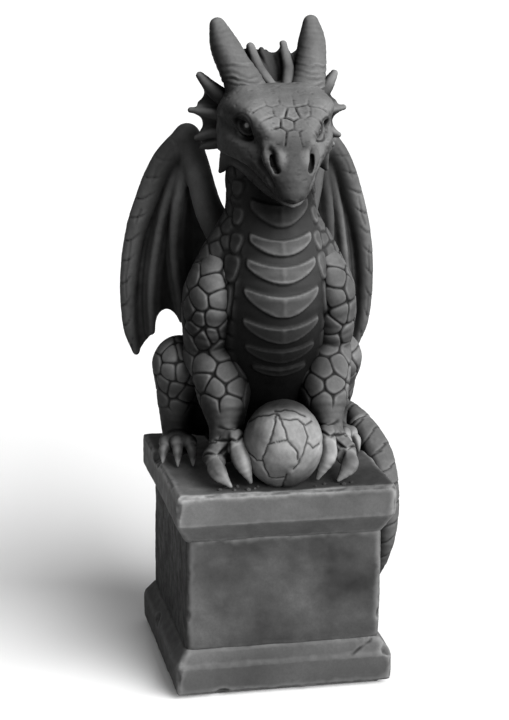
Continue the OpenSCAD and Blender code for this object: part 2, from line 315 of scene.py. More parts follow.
def noise(tree, place, scale, detail=4.0, roughness=0.55):
    node = tree.nodes.new("ShaderNodeTexNoise")
    plug(tree, node, "Vector", place)
    node.inputs["Scale"].default_value = scale
    node.inputs["Detail"].default_value = detail
    node.inputs["Roughness"].default_value = roughness
    return node.outputs["Fac"]


def blend_tones(tree, amount, first, second, way="MIX"):
    node = tree.nodes.new("ShaderNodeMix")
    node.data_type = "RGBA"
    node.blend_type = way
    plug(tree, node, "Factor", amount)
    plug(tree, node, 6, first)
    plug(tree, node, 7, second)
    return node.outputs[2]


def sum_of(tree, first, second, way="ADD", clamp=True):
    node = tree.nodes.new("ShaderNodeMath")
    node.operation = way
    node.use_clamp = clamp
    plug(tree, node, 0, first)
    plug(tree, node, 1, second)
    return node.outputs[0]


def mark_on(tree, name):
    """A value that was stored on the piece's points."""
    node = tree.nodes.new("ShaderNodeAttribute")
    node.attribute_name = name
    return node.outputs["Fac"]


def grey(value):
    return (value, value, value, 1)


def painted_resin(name, deep, body, bright, patch, patch_size, grain=0.03, shade=None, bare_tone=None,
                  under=0.02):
    """Matt paint in three coats: a dark wash in the grooves, which also paints their shade, the body tone,
    and a light on the edges, which also paints a highlight there. patch is how far the body tone wanders, and
    grain the depth of the surface's texture in millimetres. The optional greys go where a piece is marked
    dark, partly dark paint and partly painted shade, and where it is marked pale, for pale marks and painted
    glints. The tone is multiplied by the painted light stored on the piece; under is the share of the tone
    that is left in full painted shade."""
    material = bpy.data.materials.new(name)
    material.use_nodes = True
    tree = material.node_tree
    shader = tree.nodes["Principled BSDF"]
    place = tree.nodes.new("ShaderNodeTexCoord").outputs["Object"]
    relief = mark_on(tree, "relief")
    cloud = noise(tree, place, 1000 / patch_size, 4.0, 0.5)
    body_tone = blend_tones(tree, ramp(tree, cloud, 0.3, 0.7), grey(body * (1 - patch)),
                            grey(body * (1 + patch)))
    speck = noise(tree, place, 2600, 3.0, 0.7)
    body_tone = blend_tones(tree, ramp(tree, speck, 0.35, 0.75, 0.0, 0.30), body_tone, grey(body * 0.45))
    # The dark wash in the grooves also paints their shade, and the light on the edges also paints a
    # highlight.
    wash_and_shade = blend_tones(tree, ramp(tree, relief, -0.05, -0.75), body_tone, grey(deep))
    edge_paint_and_highlight = ramp(tree, relief, 0.12, 0.8)
    streak = ramp(tree, noise(tree, place, 900, 4.0, 0.65), 0.2, 0.5)
    edge_paint_and_highlight = sum_of(tree, edge_paint_and_highlight, streak, "MULTIPLY")
    tone = blend_tones(tree, edge_paint_and_highlight, wash_and_shade, grey(bright))
    if bare_tone is not None:
        tone = blend_tones(tree, mark_on(tree, "bare"), tone, grey(bare_tone))
    if shade is not None:
        tone = blend_tones(tree, mark_on(tree, "shade"), tone, grey(shade))
    # Painted light and shade: the tone is multiplied by the painted light stored on the piece.
    painted_light_share = sum_of(tree, mark_on(tree, "spray"), 1 - under, "MULTIPLY", clamp=False)
    painted_light_share = sum_of(tree, painted_light_share, under, clamp=False)
    painted_light_tone = tree.nodes.new("ShaderNodeCombineColor")
    for channel in ("Red", "Green", "Blue"):
        tree.links.new(painted_light_share, painted_light_tone.inputs[channel])
    tone = blend_tones(tree, 1.0, tone, painted_light_tone.outputs["Color"], "MULTIPLY")
    tree.links.new(tone, shader.inputs["Base Color"])
    smoothest, roughest = 0.54, 0.74
    uneven = ramp(tree, noise(tree, place, 700, 3.0, 0.6), 0.3, 0.7, smoothest, roughest)
    tree.links.new(uneven, shader.inputs["Roughness"])
    shader.inputs["Specular IOR Level"].default_value = 0.07
    bump = tree.nodes.new("ShaderNodeBump")
    bump.inputs["Strength"].default_value = 0.5
    bump.inputs["Distance"].default_value = grain * MM
    tree.links.new(noise(tree, place, 3200, 4.0, 0.7), bump.inputs["Height"])
    tree.links.new(bump.outputs["Normal"], shader.inputs["Normal"])
    return material


castings = []


def finish_piece(obj, material, slot, *nodes):
    obj.data.materials.clear()
    obj.data.materials.append(material)
    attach(obj, "root")
    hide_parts(*nodes)
    castings.append(obj)


def size_of(node):
    """A CAD node's lowest and highest corner, in millimetres."""
    low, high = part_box(node)
    return low / MM, high / MM


stone_fine = 0.2
base_low, base_high = size_of("plinth_base")
shaft_low, shaft_high = size_of("plinth_shaft")
half_shaft = shaft_high.x
slope_rise = 2.0
base = new_block("plinth_base_stone", base_low, (base_high.x, base_high.y, base_high.z - slope_rise))
draw_in(base, base_high.z - slope_rise, base_high.x - half_shaft, slope_rise)
bevel_all(base, 0.35, 2)
remesh(base, stone_fine)
weather(base, 0.28, 11)
chip(base, [(14.8, -15.0, 5.6, 1.5, 0.5), (-15.0, -15.0, 3.6, 1.2, 0.1), (-15.0, 3.0, 4.8, 1.4, 0.5),
            (15.0, 6.0, 4.8, 1.6, 0.5), (-4.0, 15.0, 4.8, 1.5, 0.5), (9.5, 15.0, 0.6, 1.4, 0.5),
            (-9.0, -15.0, 0.6, 1.2, 0.4)], 151)
stone_points = points_of(base)
split = near_line(stone_points, [(9.4, -14.9, 5.0), (10.0, -14.6, 5.4), (11.2, -14.0, 5.9),
                                 (12.0, -13.9, 6.3), (12.6, -13.4, 7.2)])
stone_points -= normals_of(base) * (0.22 * (1 - step_between(0.0, 0.26, split)))[:, None]
set_points(base, stone_points)
mark_relief(base, 14, 0.16)
slab_paint = painted_resin("slab_paint", 0.02, 0.079, 0.17, patch=0.25, patch_size=8.0, under=0.45)
finish_piece(base, slab_paint, "stone_paint", "plinth_base")

# ---- Plinth shaft ----
# The plain square body of the plinth, cast in resin. Each end is sunk in a slab and glued, so only its
# sides show. It is a block with softened corners, worn and chipped like the slabs.

sunk = 0.6
shaft = new_block("plinth_shaft_stone", (-half_shaft, -half_shaft, base_high.z - sunk),
                  (half_shaft, half_shaft, shaft_high.z - sunk))
bevel_all(shaft, 0.4, 3)
remesh(shaft, stone_fine)
weather(shaft, 0.22, 23)
chip(shaft, [(-13.5, -13.5, 12.0, 1.1, 0.16), (-13.5, -13.5, 17.5, 0.9, 0.12), (13.5, -13.5, 10.0, 1.0, 0.3),
             (13.5, 13.5, 15.0, 1.3, 0.4),
             (-13.5, 13.5, 9.0, 1.2, 0.4)], 153)
mark_relief(shaft, 14, 0.16)
shaft_paint = painted_resin("shaft_paint", 0.012, 0.047, 0.115, patch=0.7, patch_size=9.0, under=0.16)
finish_piece(shaft, shaft_paint, "stone_paint", "plinth_shaft")

# ---- Plinth cap ----
# The top slab, with a sloping moulding under it, cast in resin. The dragon and the orb are glued down on
# it. It is made as the base is, turned over.

cap_low, cap_high = size_of("plinth_cap")
slab_h = 4.2
hollow_h = cap_high.z - slab_h - cap_low.z
half_cap = cap_high.x
cap = new_block("plinth_cap_stone", (-half_cap, -half_cap, cap_high.z - slab_h),
                (half_cap, half_cap, cap_high.z))
draw_in(cap, cap_high.z - slab_h, half_cap - half_shaft, -hollow_h)
bevel_all(cap, 0.35, 3)
remesh(cap, stone_fine)
weather(cap, 0.3, 37)
chip(cap, [(-15.0, 4.5, 29.0, 2.4, 0.8), (-15.0, 2.0, 29.0, 1.6, 0.5), (-15.0, -15.0, 27.0, 1.2, 0.18),
           (15.0, -15.0, 28.8, 1.2, 0.35),
           (15.0, 9.0, 29.0, 1.6, 0.5), (-3.0, 15.0, 29.0, 1.8, 0.5),
           (10.0, 15.0, 24.9, 1.3, 0.4)], 155)
mark_relief(cap, 14, 0.16)
finish_piece(cap, slab_paint, "stone_paint", "plinth_cap")

# ---- Body and neck ----
# The largest casting: the sitting body with the neck, belly plates down the front, tongue-shaped scutes
# beside them and small scales round the back. It is modelled as clay, rounded masses that melt together,
# then tooled and painted.

class Clay:
    """A block of clay: distances to its surface on an even grid, in millimetres, negative inside."""

    def __init__(self, low, high, grain):
        self.grain = grain * 1.0
        self.low = np.array(low, float)
        self.shape = np.ceil((np.array(high, float) - self.low) / self.grain).astype(int) + 1
        self.far = np.full(self.shape, 3.0, np.float32)

    def around(self, low, high, margin):
        """The part of the grid near a box, and the coordinates there."""
        first = np.clip(np.floor((np.array(low) - margin - self.low) / self.grain), 0, self.shape).astype(int)
        last = np.clip(np.ceil((np.array(high) + margin - self.low) / self.grain) + 1, 0,
                       self.shape).astype(int)
        part = tuple(slice(a, b) for a, b in zip(first, last))
        axes = [(self.low[k] + self.grain * np.arange(first[k], last[k])).astype(np.float32)
                for k in range(3)]
        return part, np.meshgrid(*axes, indexing="ij", sparse=True)

    def gather(self, masses, margin):
        """The masses together, as distances on the part of the grid that they reach."""
        low = np.min([m.box[0] for m in masses], axis=0)
        high = np.max([m.box[1] for m in masses], axis=0)
        whole, _ = self.around(low, high, margin)
        near = np.full([s.stop - s.start for s in whole], 3.0, np.float32)
        for mass in masses:
            part, grid = self.around(*mass.box, margin)
            inner = tuple(slice(p.start - w.start, p.stop - w.start) for p, w in zip(part, whole))
            near[inner] = np.minimum(near[inner], mass.distance(*grid))
        return whole, near

    def add(self, masses, melt=0.5):
        """Presses masses on, with a fillet of about melt where they meet what is there."""
        part, new = self.gather(masses, melt + 3 * self.grain)
        old = self.far[part]
        overlap = np.maximum(melt - np.abs(old - new), 0) / max(melt, 1e-6)
        self.far[part] = np.minimum(old, new) - overlap * overlap * melt / 4

    def cut(self, masses, melt=0.2):
        """Scoops masses out, with an edge rounded by about melt."""
        part, new = self.gather(masses, melt + 3 * self.grain)
        old = self.far[part]
        overlap = np.maximum(melt - np.abs(old + new), 0) / max(melt, 1e-6)
        self.far[part] = np.maximum(old, -new) + overlap * overlap * melt / 4

    def skin(self):
        """The clay's surface, as points and four-sided faces."""
        f = self.far
        inside = f < 0
        counts = sum(inside[i:i + f.shape[0] - 1, j:j + f.shape[1] - 1, k:k + f.shape[2] - 1].astype(np.int8)
                     for i, j, k in np.ndindex(2, 2, 2))
        crossed = (counts > 0) & (counts < 8)
        cells = np.argwhere(crossed)
        number = np.full(crossed.shape, -1, np.int64)
        number[crossed] = np.arange(len(cells))
        total = np.zeros((len(cells), 3))
        hits = np.zeros(len(cells))
        for axis in range(3):
            for side in np.ndindex(2, 2):
                start = np.insert(np.array(side), axis, 0)
                end = start.copy()
                end[axis] = 1
                a = f[tuple((cells + start).T)]
                b = f[tuple((cells + end).T)]
                hit = (a < 0) != (b < 0)
                t = a[hit] / (a[hit] - b[hit])
                place = np.repeat(start[None].astype(float), hit.sum(), axis=0)
                place[:, axis] += t
                total[hit] += place
                hits[hit] += 1
        points = self.low + self.grain * (cells + total / hits[:, None])
        faces = []
        for axis in range(3):
            u, v = (axis + 1) % 3, (axis + 2) % 3
            a = np.moveaxis(inside, axis, 0)[:-1]
            b = np.moveaxis(inside, axis, 0)[1:]
            edges = np.argwhere(np.moveaxis(a != b, 0, axis))
            edges = edges[(edges[:, u] > 0) & (edges[:, v] > 0)]
            edges = edges[(edges[:, u] < f.shape[u] - 1) & (edges[:, v] < f.shape[v] - 1)]
            outward = inside[tuple(edges.T)]
            corners = []
            for du, dv in ((-1, -1), (0, -1), (0, 0), (-1, 0)):
                cell = edges.copy()
                cell[:, u] += du
                cell[:, v] += dv
                corners.append(number[tuple(cell.T)])
            quad = np.stack(corners, axis=1)
            quad[~outward] = quad[~outward][:, ::-1]
            faces.append(quad)
        return points, np.concatenate(faces)


class Mass:
    """A rounded mass: its box, and the distance to its surface at any point."""

    def __init__(self, box, distance):
        self.box = box
        self.distance = distance


def egg(middle, radii):
    """An ellipsoid along the axes."""
    c, r = np.array(middle, float), np.broadcast_to(np.array(radii, float), 3)

    def distance(x, y, z):
        qx, qy, qz = (x - c[0]) / r[0], (y - c[1]) / r[1], (z - c[2]) / r[2]
        near = np.sqrt(qx * qx + qy * qy + qz * qz)
        slope = np.sqrt((qx / r[0]) ** 2 + (qy / r[1]) ** 2 + (qz / r[2]) ** 2)
        return near * (near - 1) / np.maximum(slope, 1e-6)

    return Mass((c - r, c + r), distance)


def strand(a, b):
    """Flesh between two stations: [x, y, z, radius] or [x, y, z, radius x, radius y, radius z]."""
    a, b = full_station(a), full_station(b)
    run, swell = b[:3] - a[:3], b[3:] - a[3:]
    weight = 1 / ((a[3:] + b[3:]) / 2) ** 2
    length = (run * run * weight).sum() + 1e-9

    def distance(x, y, z):
        px, py, pz = x - a[0], y - a[1], z - a[2]
        t = np.clip((px * run[0] * weight[0] + py * run[1] * weight[1] + pz * run[2] * weight[2]) / length,
                    0, 1)
        rx, ry, rz = a[3] + swell[0] * t, a[4] + swell[1] * t, a[5] + swell[2] * t
        qx, qy, qz = (px - run[0] * t) / rx, (py - run[1] * t) / ry, (pz - run[2] * t) / rz
        near = np.sqrt(qx * qx + qy * qy + qz * qz)
        slope = np.sqrt((qx / rx) ** 2 + (qy / ry) ** 2 + (qz / rz) ** 2)
        return near * (near - 1) / np.maximum(slope, 1e-6)

    low = np.minimum(a[:3] - a[3:], b[:3] - b[3:])
    high = np.maximum(a[:3] + a[3:], b[:3] + b[3:])
    return Mass((low, high), distance)


def full_station(s):
    s = np.array(s, float)
    return s if len(s) == 6 else np.array([s[0], s[1], s[2], s[3], s[3], s[3]])


def smooth_line(stations, steps):
    """More stations, along one smooth curve through those given."""
    s = [np.array(p, float) for p in stations]
    out = []
    for i in range(len(s) - 1):
        before, a, b, after = s[max(i - 1, 0)], s[i], s[i + 1], s[min(i + 2, len(s) - 1)]
        for k in range(steps):
            t = k / steps
            out.append(0.5 * (2 * a + (b - before) * t + (2 * before - 5 * a + 4 * b - after) * t * t
                              + (3 * a - before - 3 * b + after) * t ** 3))
    return out + [s[-1]]


def limb(stations, steps=4):
    """Flesh along a smooth curve through the stations."""
    line = smooth_line([full_station(p) for p in stations], steps)
    return [strand(a, b) for a, b in zip(line[:-1], line[1:])]


def mirrored(stations, way):
    """The same places on the dragon's left (way 1) or right (way -1)."""
    return [[p[0] * way, *p[1:]] for p in stations]


def outward(points, faces):
    """The way the surface faces at each point."""
    a, b, c, d = (points[faces[:, k]] for k in range(4))
    across = np.cross(c - a, d - b)
    total = np.zeros_like(points)
    for k in range(4):
        for axis in range(3):
            total[:, axis] += np.bincount(faces[:, k], across[:, axis], len(points))
    return total / np.maximum(np.linalg.norm(total, axis=1), 1e-12)[:, None]


def links_in(faces):
    pairs = np.concatenate([faces[:, [k, (k + 1) % 4]] for k in range(4)])
    pairs.sort(axis=1)
    keys = np.unique(pairs[:, 0].astype(np.int64) * (faces.max() + 1) + pairs[:, 1])
    return np.stack([keys // (faces.max() + 1), keys % (faces.max() + 1)], axis=1)


class Casting:
    """The skin of a lump of clay while it is tooled: points, faces and the way each point faces."""

    def __init__(self, clay, even=2):
        self.points, self.faces = clay.skin()
        self.links = links_in(self.faces)
        for _ in range(even):
            self.points = spread_over(self.points, self.links, 1, 0.5)
        self.normals = outward(self.points, self.faces)
        self.marks = {}

    def raise_by(self, height):
        self.points = self.points + self.normals * height[:, None]
        self.normals = outward(self.points, self.faces)

    def make(self, name, rounds, depth):
        mesh = bpy.data.meshes.new(name)
        mesh.vertices.add(len(self.points))
        mesh.vertices.foreach_set("co", (self.points * MM).astype(np.float32).ravel())
        mesh.loops.add(self.faces.size)
        mesh.loops.foreach_set("vertex_index", self.faces.astype(np.int32).ravel())
        mesh.polygons.add(len(self.faces))
        mesh.polygons.foreach_set("loop_start", np.arange(0, self.faces.size, 4, dtype=np.int32))
        mesh.update(calc_edges=True)
        mesh.polygons.foreach_set("use_smooth", np.ones(len(self.faces), bool))
        piece = bpy.data.objects.new(name, mesh)
        bpy.context.scene.collection.objects.link(piece)
        mark_relief(piece, rounds, depth)
        for mark, values in self.marks.items():
            store(piece, mark, values)
        return piece


def scale_centres(points, chosen, gap, seed, rounds=3, given=None):
    """Middles of scales spread evenly over the chosen points, about gap apart. gap may be a value for each
    point; given middles stay where they are."""
    picked = np.flatnonzero(chosen)
    gap = np.broadcast_to(gap, len(points))[picked]
    order = np.random.default_rng(seed).permutation(len(picked))
    place = points[picked]
    fixed = 0 if given is None else len(given)
    centres = np.empty((0, 3)) if given is None else np.array(given)
    for i in order[:6000]:
        if len(centres) == 0 or (np.linalg.norm(centres - place[i], axis=1) > gap[i]).all():
            centres = np.vstack([centres, place[i]])
    for _ in range(rounds):
        first, _ = nearest_two(place, centres)
        count = np.bincount(first, minlength=len(centres))
        moved = np.stack([np.bincount(first, place[:, k], len(centres)) for k in range(3)], axis=1)
        moved = np.where(count[:, None] > 0, moved / np.maximum(count, 1)[:, None], centres)
        centres = np.concatenate([centres[:fixed], moved[fixed:]])
    return centres


batch = 20000


def nearest_two(points, centres):
    """For each point: the nearest centre, and how far the border with the next one is."""
    first = np.zeros(len(points), int)
    border = np.zeros(len(points))
    for start in range(0, len(points), batch):
        p = points[start:start + batch]
        square = ((p ** 2).sum(1)[:, None] + (centres ** 2).sum(1)[None] - 2 * p @ centres.T).clip(0)
        two = np.argpartition(square, 1, axis=1)[:, :2]
        row = np.arange(len(p))
        a, b = square[row, two[:, 0]], square[row, two[:, 1]]
        swap = a > b
        two[swap] = two[swap][:, ::-1]
        a, b = np.minimum(a, b), np.maximum(a, b)
        apart = np.linalg.norm(centres[two[:, 0]] - centres[two[:, 1]], axis=1).clip(1e-6)
        first[start:start + batch] = two[:, 0]
        border[start:start + batch] = (b - a) / (2 * apart)
    return first, border


def rounded_cells(points, centres, corner):
    """How far each point is inside its own cell's border, with the cell's corners rounded by about corner."""
    inside = np.zeros(len(points))
    near = np.zeros(len(points))
    for start in range(0, len(points), batch):
        p = points[start:start + batch]
        square = ((p ** 2).sum(1)[:, None] + (centres ** 2).sum(1)[None] - 2 * p @ centres.T).clip(0)
        five = np.argsort(square, axis=1)[:, :5]
        row = np.arange(len(p))[:, None]
        five_square = square[row, five]
        apart = np.linalg.norm(centres[five[:, 1:]] - centres[five[:, :1]], axis=2).clip(1e-6)
        border = (five_square[:, 1:] - five_square[:, :1]) / (2 * apart)
        soft = np.exp(-(border - border[:, :1]) / corner).sum(1)
        inside[start:start + batch] = border[:, 0] - corner * np.log(soft)
        near[start:start + batch] = np.sqrt(five_square[:, 0])
    return inside, near


def scales(points, centres, height, groove, dome=0.08):
    """Pebble scales: a groove along each border, and a slight dome on each scale."""
    border, near = rounded_cells(points, centres, 0.12)
    return height * step_between(0.0, groove, border) - dome * (near / 1.5).clip(0, 1) ** 2


cap_z = cap_high.z


def on_cap(stations):
    """Places measured from the middle of the cap's top face, moved up onto it."""
    return [[p[0], p[1], p[2] + cap_z, *p[3:]] for p in stations]


spine = [
    [0, 6.0, 4.5, 8.2, 7.6, 6.0],
    [0, 3.4, 10.0, 8.5, 9.0, 5.5],
    [0, 0.6, 16.5, 8.0, 9.2, 5.0],
    [0, -1.6, 23.5, 7.7, 9.0, 4.5],
    [0, -2.2, 29.5, 7.0, 7.6, 4.0],
    [0, -2.0, 35.5, 5.9, 6.1, 4.0],
    [-0.3, -2.0, 41.0, 5.7, 5.1, 4.0],
    [0, -1.6, 44.5, 4.6, 4.6, 3.0],
]
torso_low, torso_high = size_of("torso")
body = Clay((-10, -13, cap_z - 1.5), (10, 17, torso_high.z + 1), 0.194)
body.add(limb(on_cap(spine), 4), 0)
for way in (1, -1):
    slope = [[3.0, -2.0, 35.0, 2.4], [5.6, -1.7, 31.0, 2.8], [7.8, -1.3, 27.0, 2.8]]
    body.add(limb(on_cap(mirrored(slope, way)), 3), 1.5)
back_line = smooth_line(spine, 3)
for i, s in enumerate(back_line[1:-1]):
    size = 0.9 - 0.3 * i / len(back_line)
    root = [0, s[1] + s[4] - 0.5, s[2], 0.45, size, size]
    tip = [0, s[1] + s[4] + 0.9 * size, s[2] - 0.7 * size, 0.18, 0.25, 0.25]
    body.add(limb(on_cap([root, tip]), 1), 0.5)
torso = Casting(body)
x, y, z = torso.points[:, 0], torso.points[:, 1], torso.points[:, 2] - cap_z
front = -torso.normals[:, 1] > 0.1

# Each belly plate: lower edge and upper edge at the middle, half width, and how far each edge turns up at
# the ends.
belly_plates = [
    [34.3, 37.4, 3.9, 2.4, 0.9],
    [30.6, 32.9, 4.2, 1.7, 0.9],
    [27.0, 29.5, 4.7, 2.1, 1.0],
    [22.6, 25.6, 5.1, 3.0, 1.1],
    [18.9, 21.3, 5.2, 2.7, 1.3],
    [16.0, 18.0, 4.8, 2.0, 1.0],
    [14.0, 15.3, 3.8, 1.2, 0.8],
]
height = np.zeros(len(x))
for low_z, high_z, half, low_turn, high_turn in belly_plates:
    across = np.abs(x - 0.1) / half
    lower = low_z + low_turn * across ** 2
    upper = high_z + high_turn * across ** 2
    inside = np.stack([z - lower, upper - z, (1 - across) * half])
    edge = -np.log(np.exp(-5 * inside.clip(-2, 6)).sum(0)) / 5
    thicker = 0.30 + 0.18 * ((upper - z) / (high_z - low_z)).clip(0, 1)
    plate = thicker * step_between(-0.06, 0.24, edge)
    rim = 0.07 * np.exp(-((edge - 0.26) / 0.12) ** 2)
    keel = 0.08 * np.exp(-((x - 0.1) / 0.35) ** 2) * step_between(0.1, 0.5, edge)
    height = np.maximum(height, np.where(front, plate + rim + keel, 0))
belly_half = 4.2 + 1.2 * step_between(33, 24, z) - 0.8 * step_between(18, 13, z)
smooth_belly = step_between(0.9, 0.2, np.abs(x - 0.1) - belly_half) * front * step_between(39.5, 38.5, z)

# The scutes beside the plates: place across and up, half width and half height.
tongues = [
    [5.2, 39.2, 1.0, 1.2],
    [5.1, 35.4, 0.95, 1.35],
    [5.5, 32.0, 1.05, 1.5],
    [6.2, 28.6, 1.4, 2.0],
    [6.6, 24.4, 0.85, 2.3],
]
tongue_zone = np.zeros(len(x))
for place_x, place_z, half, tall in tongues:
    for way in (-1, 1):
        off = (x - place_x * way) ** 2 + (z - place_z) ** 2 + np.where(front, 0, 99)
        at = np.argmin(off)
        centre, facing = torso.points[at], torso.normals[at]
        side = np.cross((0, 0, 1), facing)
        side /= np.linalg.norm(side)
        up = np.cross(facing, side)
        u = (torso.points - centre) @ side / half
        v = (torso.points - centre) @ up / tall
        u = u * (1 + 0.28 * (-v).clip(-1, 1))
        reach = (np.abs(u) ** 2.6 + np.abs(v) ** 2.6) ** (1 / 2.6)
        deep = np.abs((torso.points - centre) @ facing) < 3
        edge = (1 - reach) * half
        tongue = np.where(deep, (0.3 + 0.12 * (-v).clip(-1, 1)) * step_between(-0.05, 0.22, edge), 0)
        height = np.maximum(height, tongue)
        tongue_zone = np.maximum(tongue_zone, np.where(deep, step_between(-0.5, -0.1, edge), 0))

free = (smooth_belly < 0.5) & (tongue_zone < 0.5)
centres = scale_centres(torso.points, free & (z > -0.5), 1.75 + 0.5 * step_between(30, 10, z), 5)
pebbles = scales(torso.points, centres, 0.2, 0.22)
clear = np.maximum(smooth_belly, tongue_zone)
height = height + pebbles * (1 - clear) * step_between(-0.5, 0.5, z)
torso.raise_by(height)
# Dark in the grooves and the low bands between the plates: partly dark paint and partly painted shade.
torso.marks["bare"] = step_between(0.2, 0.02, height)
torso_piece = torso.make("torso_casting", 9, 0.15)
scale_paint = painted_resin("scale_paint", 0.005, 0.05, 0.10, patch=0.2, patch_size=5.0, bare_tone=0.022)
finish_piece(torso_piece, scale_paint, "scale_paint", "torso")


# ---- Head ----
# The skull casting, glued on the neck and leaning a little to one side: heavy brows over deep-set eyes,
# plated forehead, broad blunt muzzle with rimmed nostrils. Clay masses, melted together, then scored with
# a needle.

lean = 0.044
lean_from = 46.0
aside = 0.35


def on_neck(stations):
    """Places on the upright head, set a little aside, leaned over with it and moved up onto the plinth."""
    return on_cap([[p[0] + aside - lean * max(p[2] - lean_from, 0), *p[1:]] for p in stations])


def both_sides(stations, steps=4):
    """The same limb on the dragon's left and right of the head."""
    return limb(on_neck(mirrored(stations, 1)), steps) + limb(on_neck(mirrored(stations, -1)), steps)


def head_egg(middle, radii):
    return egg(on_neck([middle])[0], radii)


skull_middle = [
    [0, 0.6, 47.4, 5.2, 4.2, 4.0],
    [0, -3.6, 48.8, 5.2, 4.4, 3.9],
    [0, -8.0, 46.9, 3.7, 3.1, 3.1],
    [0, -11.0, 44.2, 2.9, 2.9, 2.9],
    [0, -12.9, 42.2, 2.6, 2.0, 2.6],
    [0, -13.5, 40.5, 2.0, 1.4, 1.9],
]
skull_side = [[3.9, -0.4, 48.2, 3.4, 3.9, 3.9], [4.3, -6.2, 48.6, 2.0, 2.4, 1.7],
              [2.0, -9.2, 47.0, 2.1, 2.1, 2.0]]
cheek = [[4.7, -2.6, 44.6, 3.1, 3.4, 3.2], [3.3, -7.0, 43.9, 2.3, 3.0, 2.1],
         [1.7, -11.2, 42.0, 1.7, 2.2, 1.9]]
cheekbone = [[6.0, -2.0, 46.8, 1.6, 2.4, 2.2], [5.5, -5.2, 45.4, 1.4, 1.7, 1.2],
             [4.0, -8.2, 44.6, 1.0, 1.2, 0.9]]
brow = [[6.6, -3.1, 49.2, 1.0], [5.9, -5.9, 49.9, 1.2], [4.6, -8.0, 49.7, 1.25], [3.3, -9.7, 48.5, 1.1],
        [2.4, -10.8, 47.0, 0.7]]
horn_seat = [[4.0, -2.6, 50.0, 2.8, 2.6, 2.4], [4.0, -2.2, 51.4, 2.4, 2.4, 1.6]]
upper_lip = [[5.2, -4.6, 44.9, 0.8], [4.5, -6.8, 44.0, 0.62], [3.3, -9.6, 42.3, 0.6], [2.2, -11.9, 40.6, 0.6],
             [1.2, -13.2, 39.5, 0.6], [-0.1, -13.7, 39.1, 0.65]]
head_clay = Clay((-10.5, -16.5, cap_z + 37), (10.5, 6, cap_z + 56), 0.12)
head_clay.add(limb(on_neck(skull_middle)), 0)
head_clay.add(both_sides(skull_side), 1.6)
head_clay.add(both_sides(cheek), 1.6)
head_clay.add(both_sides(cheekbone), 1.0)
head_clay.add(both_sides(horn_seat), 1.4)
forehead = [[0, -4.4, 50.0, 5.6, 3.2, 2.5], [0, -7.4, 48.9, 4.4, 2.5, 2.3], [0, -9.6, 47.0, 2.6, 1.9, 1.9]]
head_clay.add(limb(on_neck(forehead)), 1.2)
head_clay.add(both_sides([[4.0, -4.6, 50.4, 2.2], [3.4, -7.0, 49.7, 1.9]]), 1.6)
head_clay.add(both_sides(brow), 1.6)
head_clay.add(both_sides(upper_lip), 0.7)

eyes = [[-4.5, -7.4, 47.9, -1], [4.3, -7.7, 47.2, 1]]


def looking(way):
    """The way that the eye on that side looks."""
    ahead = np.array((0.58 * way, -0.8, 0.12))
    return ahead / np.linalg.norm(ahead)


for ex, ey, ez, way in eyes:
    head_clay.cut([head_egg((ex + 0.15 * way, ey - 0.6, ez - 0.1), (2.0, 1.6, 1.85))], 0.5)
    head_clay.cut([head_egg((ex - 1.4 * way, ey - 1.8, ez - 0.9), (0.95, 1.1, 0.85))], 0.6)
head_clay.add(both_sides(brow), 0.4)
for ex, ey, ez, way in eyes:
    facing = looking(way)
    side = np.cross(facing, (0, 0, 1))
    side /= np.linalg.norm(side)
    up = np.cross(side, facing)
    up, side = up * cos(0.45 * way) + side * sin(0.45 * way), side * cos(0.45 * way) - up * sin(0.45 * way)
    ball = np.array((ex, ey, ez)) - 0.35 * facing
    head_clay.add([head_egg(ball, (1.05, 1.05, 1.05))], 0.12)
    head_clay.add([head_egg(ball + 0.62 * facing, (0.5, 0.5, 0.55))], 0.05)
    for wide, tall, thick, out in ((1.3, 1.2, 0.26, 0.5), (1.85, 1.75, 0.28, 0.1)):
        ring = []
        for k in range(13):
            a = 2 * pi * k / 12
            at = ball + facing * out + side * cos(a) * wide + up * sin(a) * tall
            ring.append([*at, thick])
        head_clay.add(limb(on_neck(ring), 2), 0.22)
bag = [[6.5, -4.8, 46.2, 0.6], [5.7, -6.9, 45.5, 0.62], [4.5, -8.4, 45.3, 0.5], [3.5, -9.4, 45.6, 0.35]]
head_clay.add(both_sides(bag), 0.6)

nostril_wing = [[2.8, -11.2, 45.6, 0.6], [3.1, -12.0, 44.4, 0.75], [2.7, -12.7, 43.1, 0.65],
                [2.1, -13.2, 42.2, 0.5]]
nostril_rim = [[2.6, -11.6, 46.0, 0.4], [1.9, -12.8, 45.3, 0.55], [1.5, -13.5, 44.2, 0.62],
               [1.5, -13.8, 43.0, 0.5],
               [1.9, -13.7, 42.3, 0.35]]
head_clay.add(both_sides(nostril_wing), 0.6)
head_clay.add(both_sides(nostril_rim), 0.35)
nostril = [[2.65, -13.1, 44.4, 0.28, 1.1, 0.4], [2.5, -13.6, 43.7, 0.42, 1.2, 0.5],
           [2.2, -13.9, 42.9, 0.4, 1.0, 0.45]]
head_clay.cut(both_sides(nostril), 0.15)
lip_fold = [[3.0, -12.2, 43.3, 0.38], [2.3, -13.2, 42.2, 0.38], [1.9, -13.6, 41.3, 0.32],
            [1.85, -13.5, 40.4, 0.2]]
head_clay.add(both_sides(lip_fold), 0.3)
head_clay.cut(both_sides([[3.8, -11.0, 43.6, 0.5], [3.1, -12.5, 42.2, 0.45], [2.6, -13.2, 41.0, 0.35]]), 0.6)
jaw_line = [[6.0, -2.4, 43.0, 2.1, 2.4, 1.3], [4.3, -6.2, 41.9, 2.2, 2.4, 1.25],
            [2.6, -10.0, 39.6, 2.0, 2.2, 1.2],
            [0.6, -12.9, 37.8, 1.6, 1.6, 1.0]]
head_clay.cut(both_sides(jaw_line), 0.3)

head = Casting(head_clay)


def upright(points):
    """Points on the leaned head, as they were before it leaned and stood on the plinth."""
    z = points[:, 2] - cap_z
    return np.stack([points[:, 0] - aside + lean * (z - lean_from).clip(0), points[:, 1], z], axis=1)


straight = upright(head.points)
x, y, z = straight.T
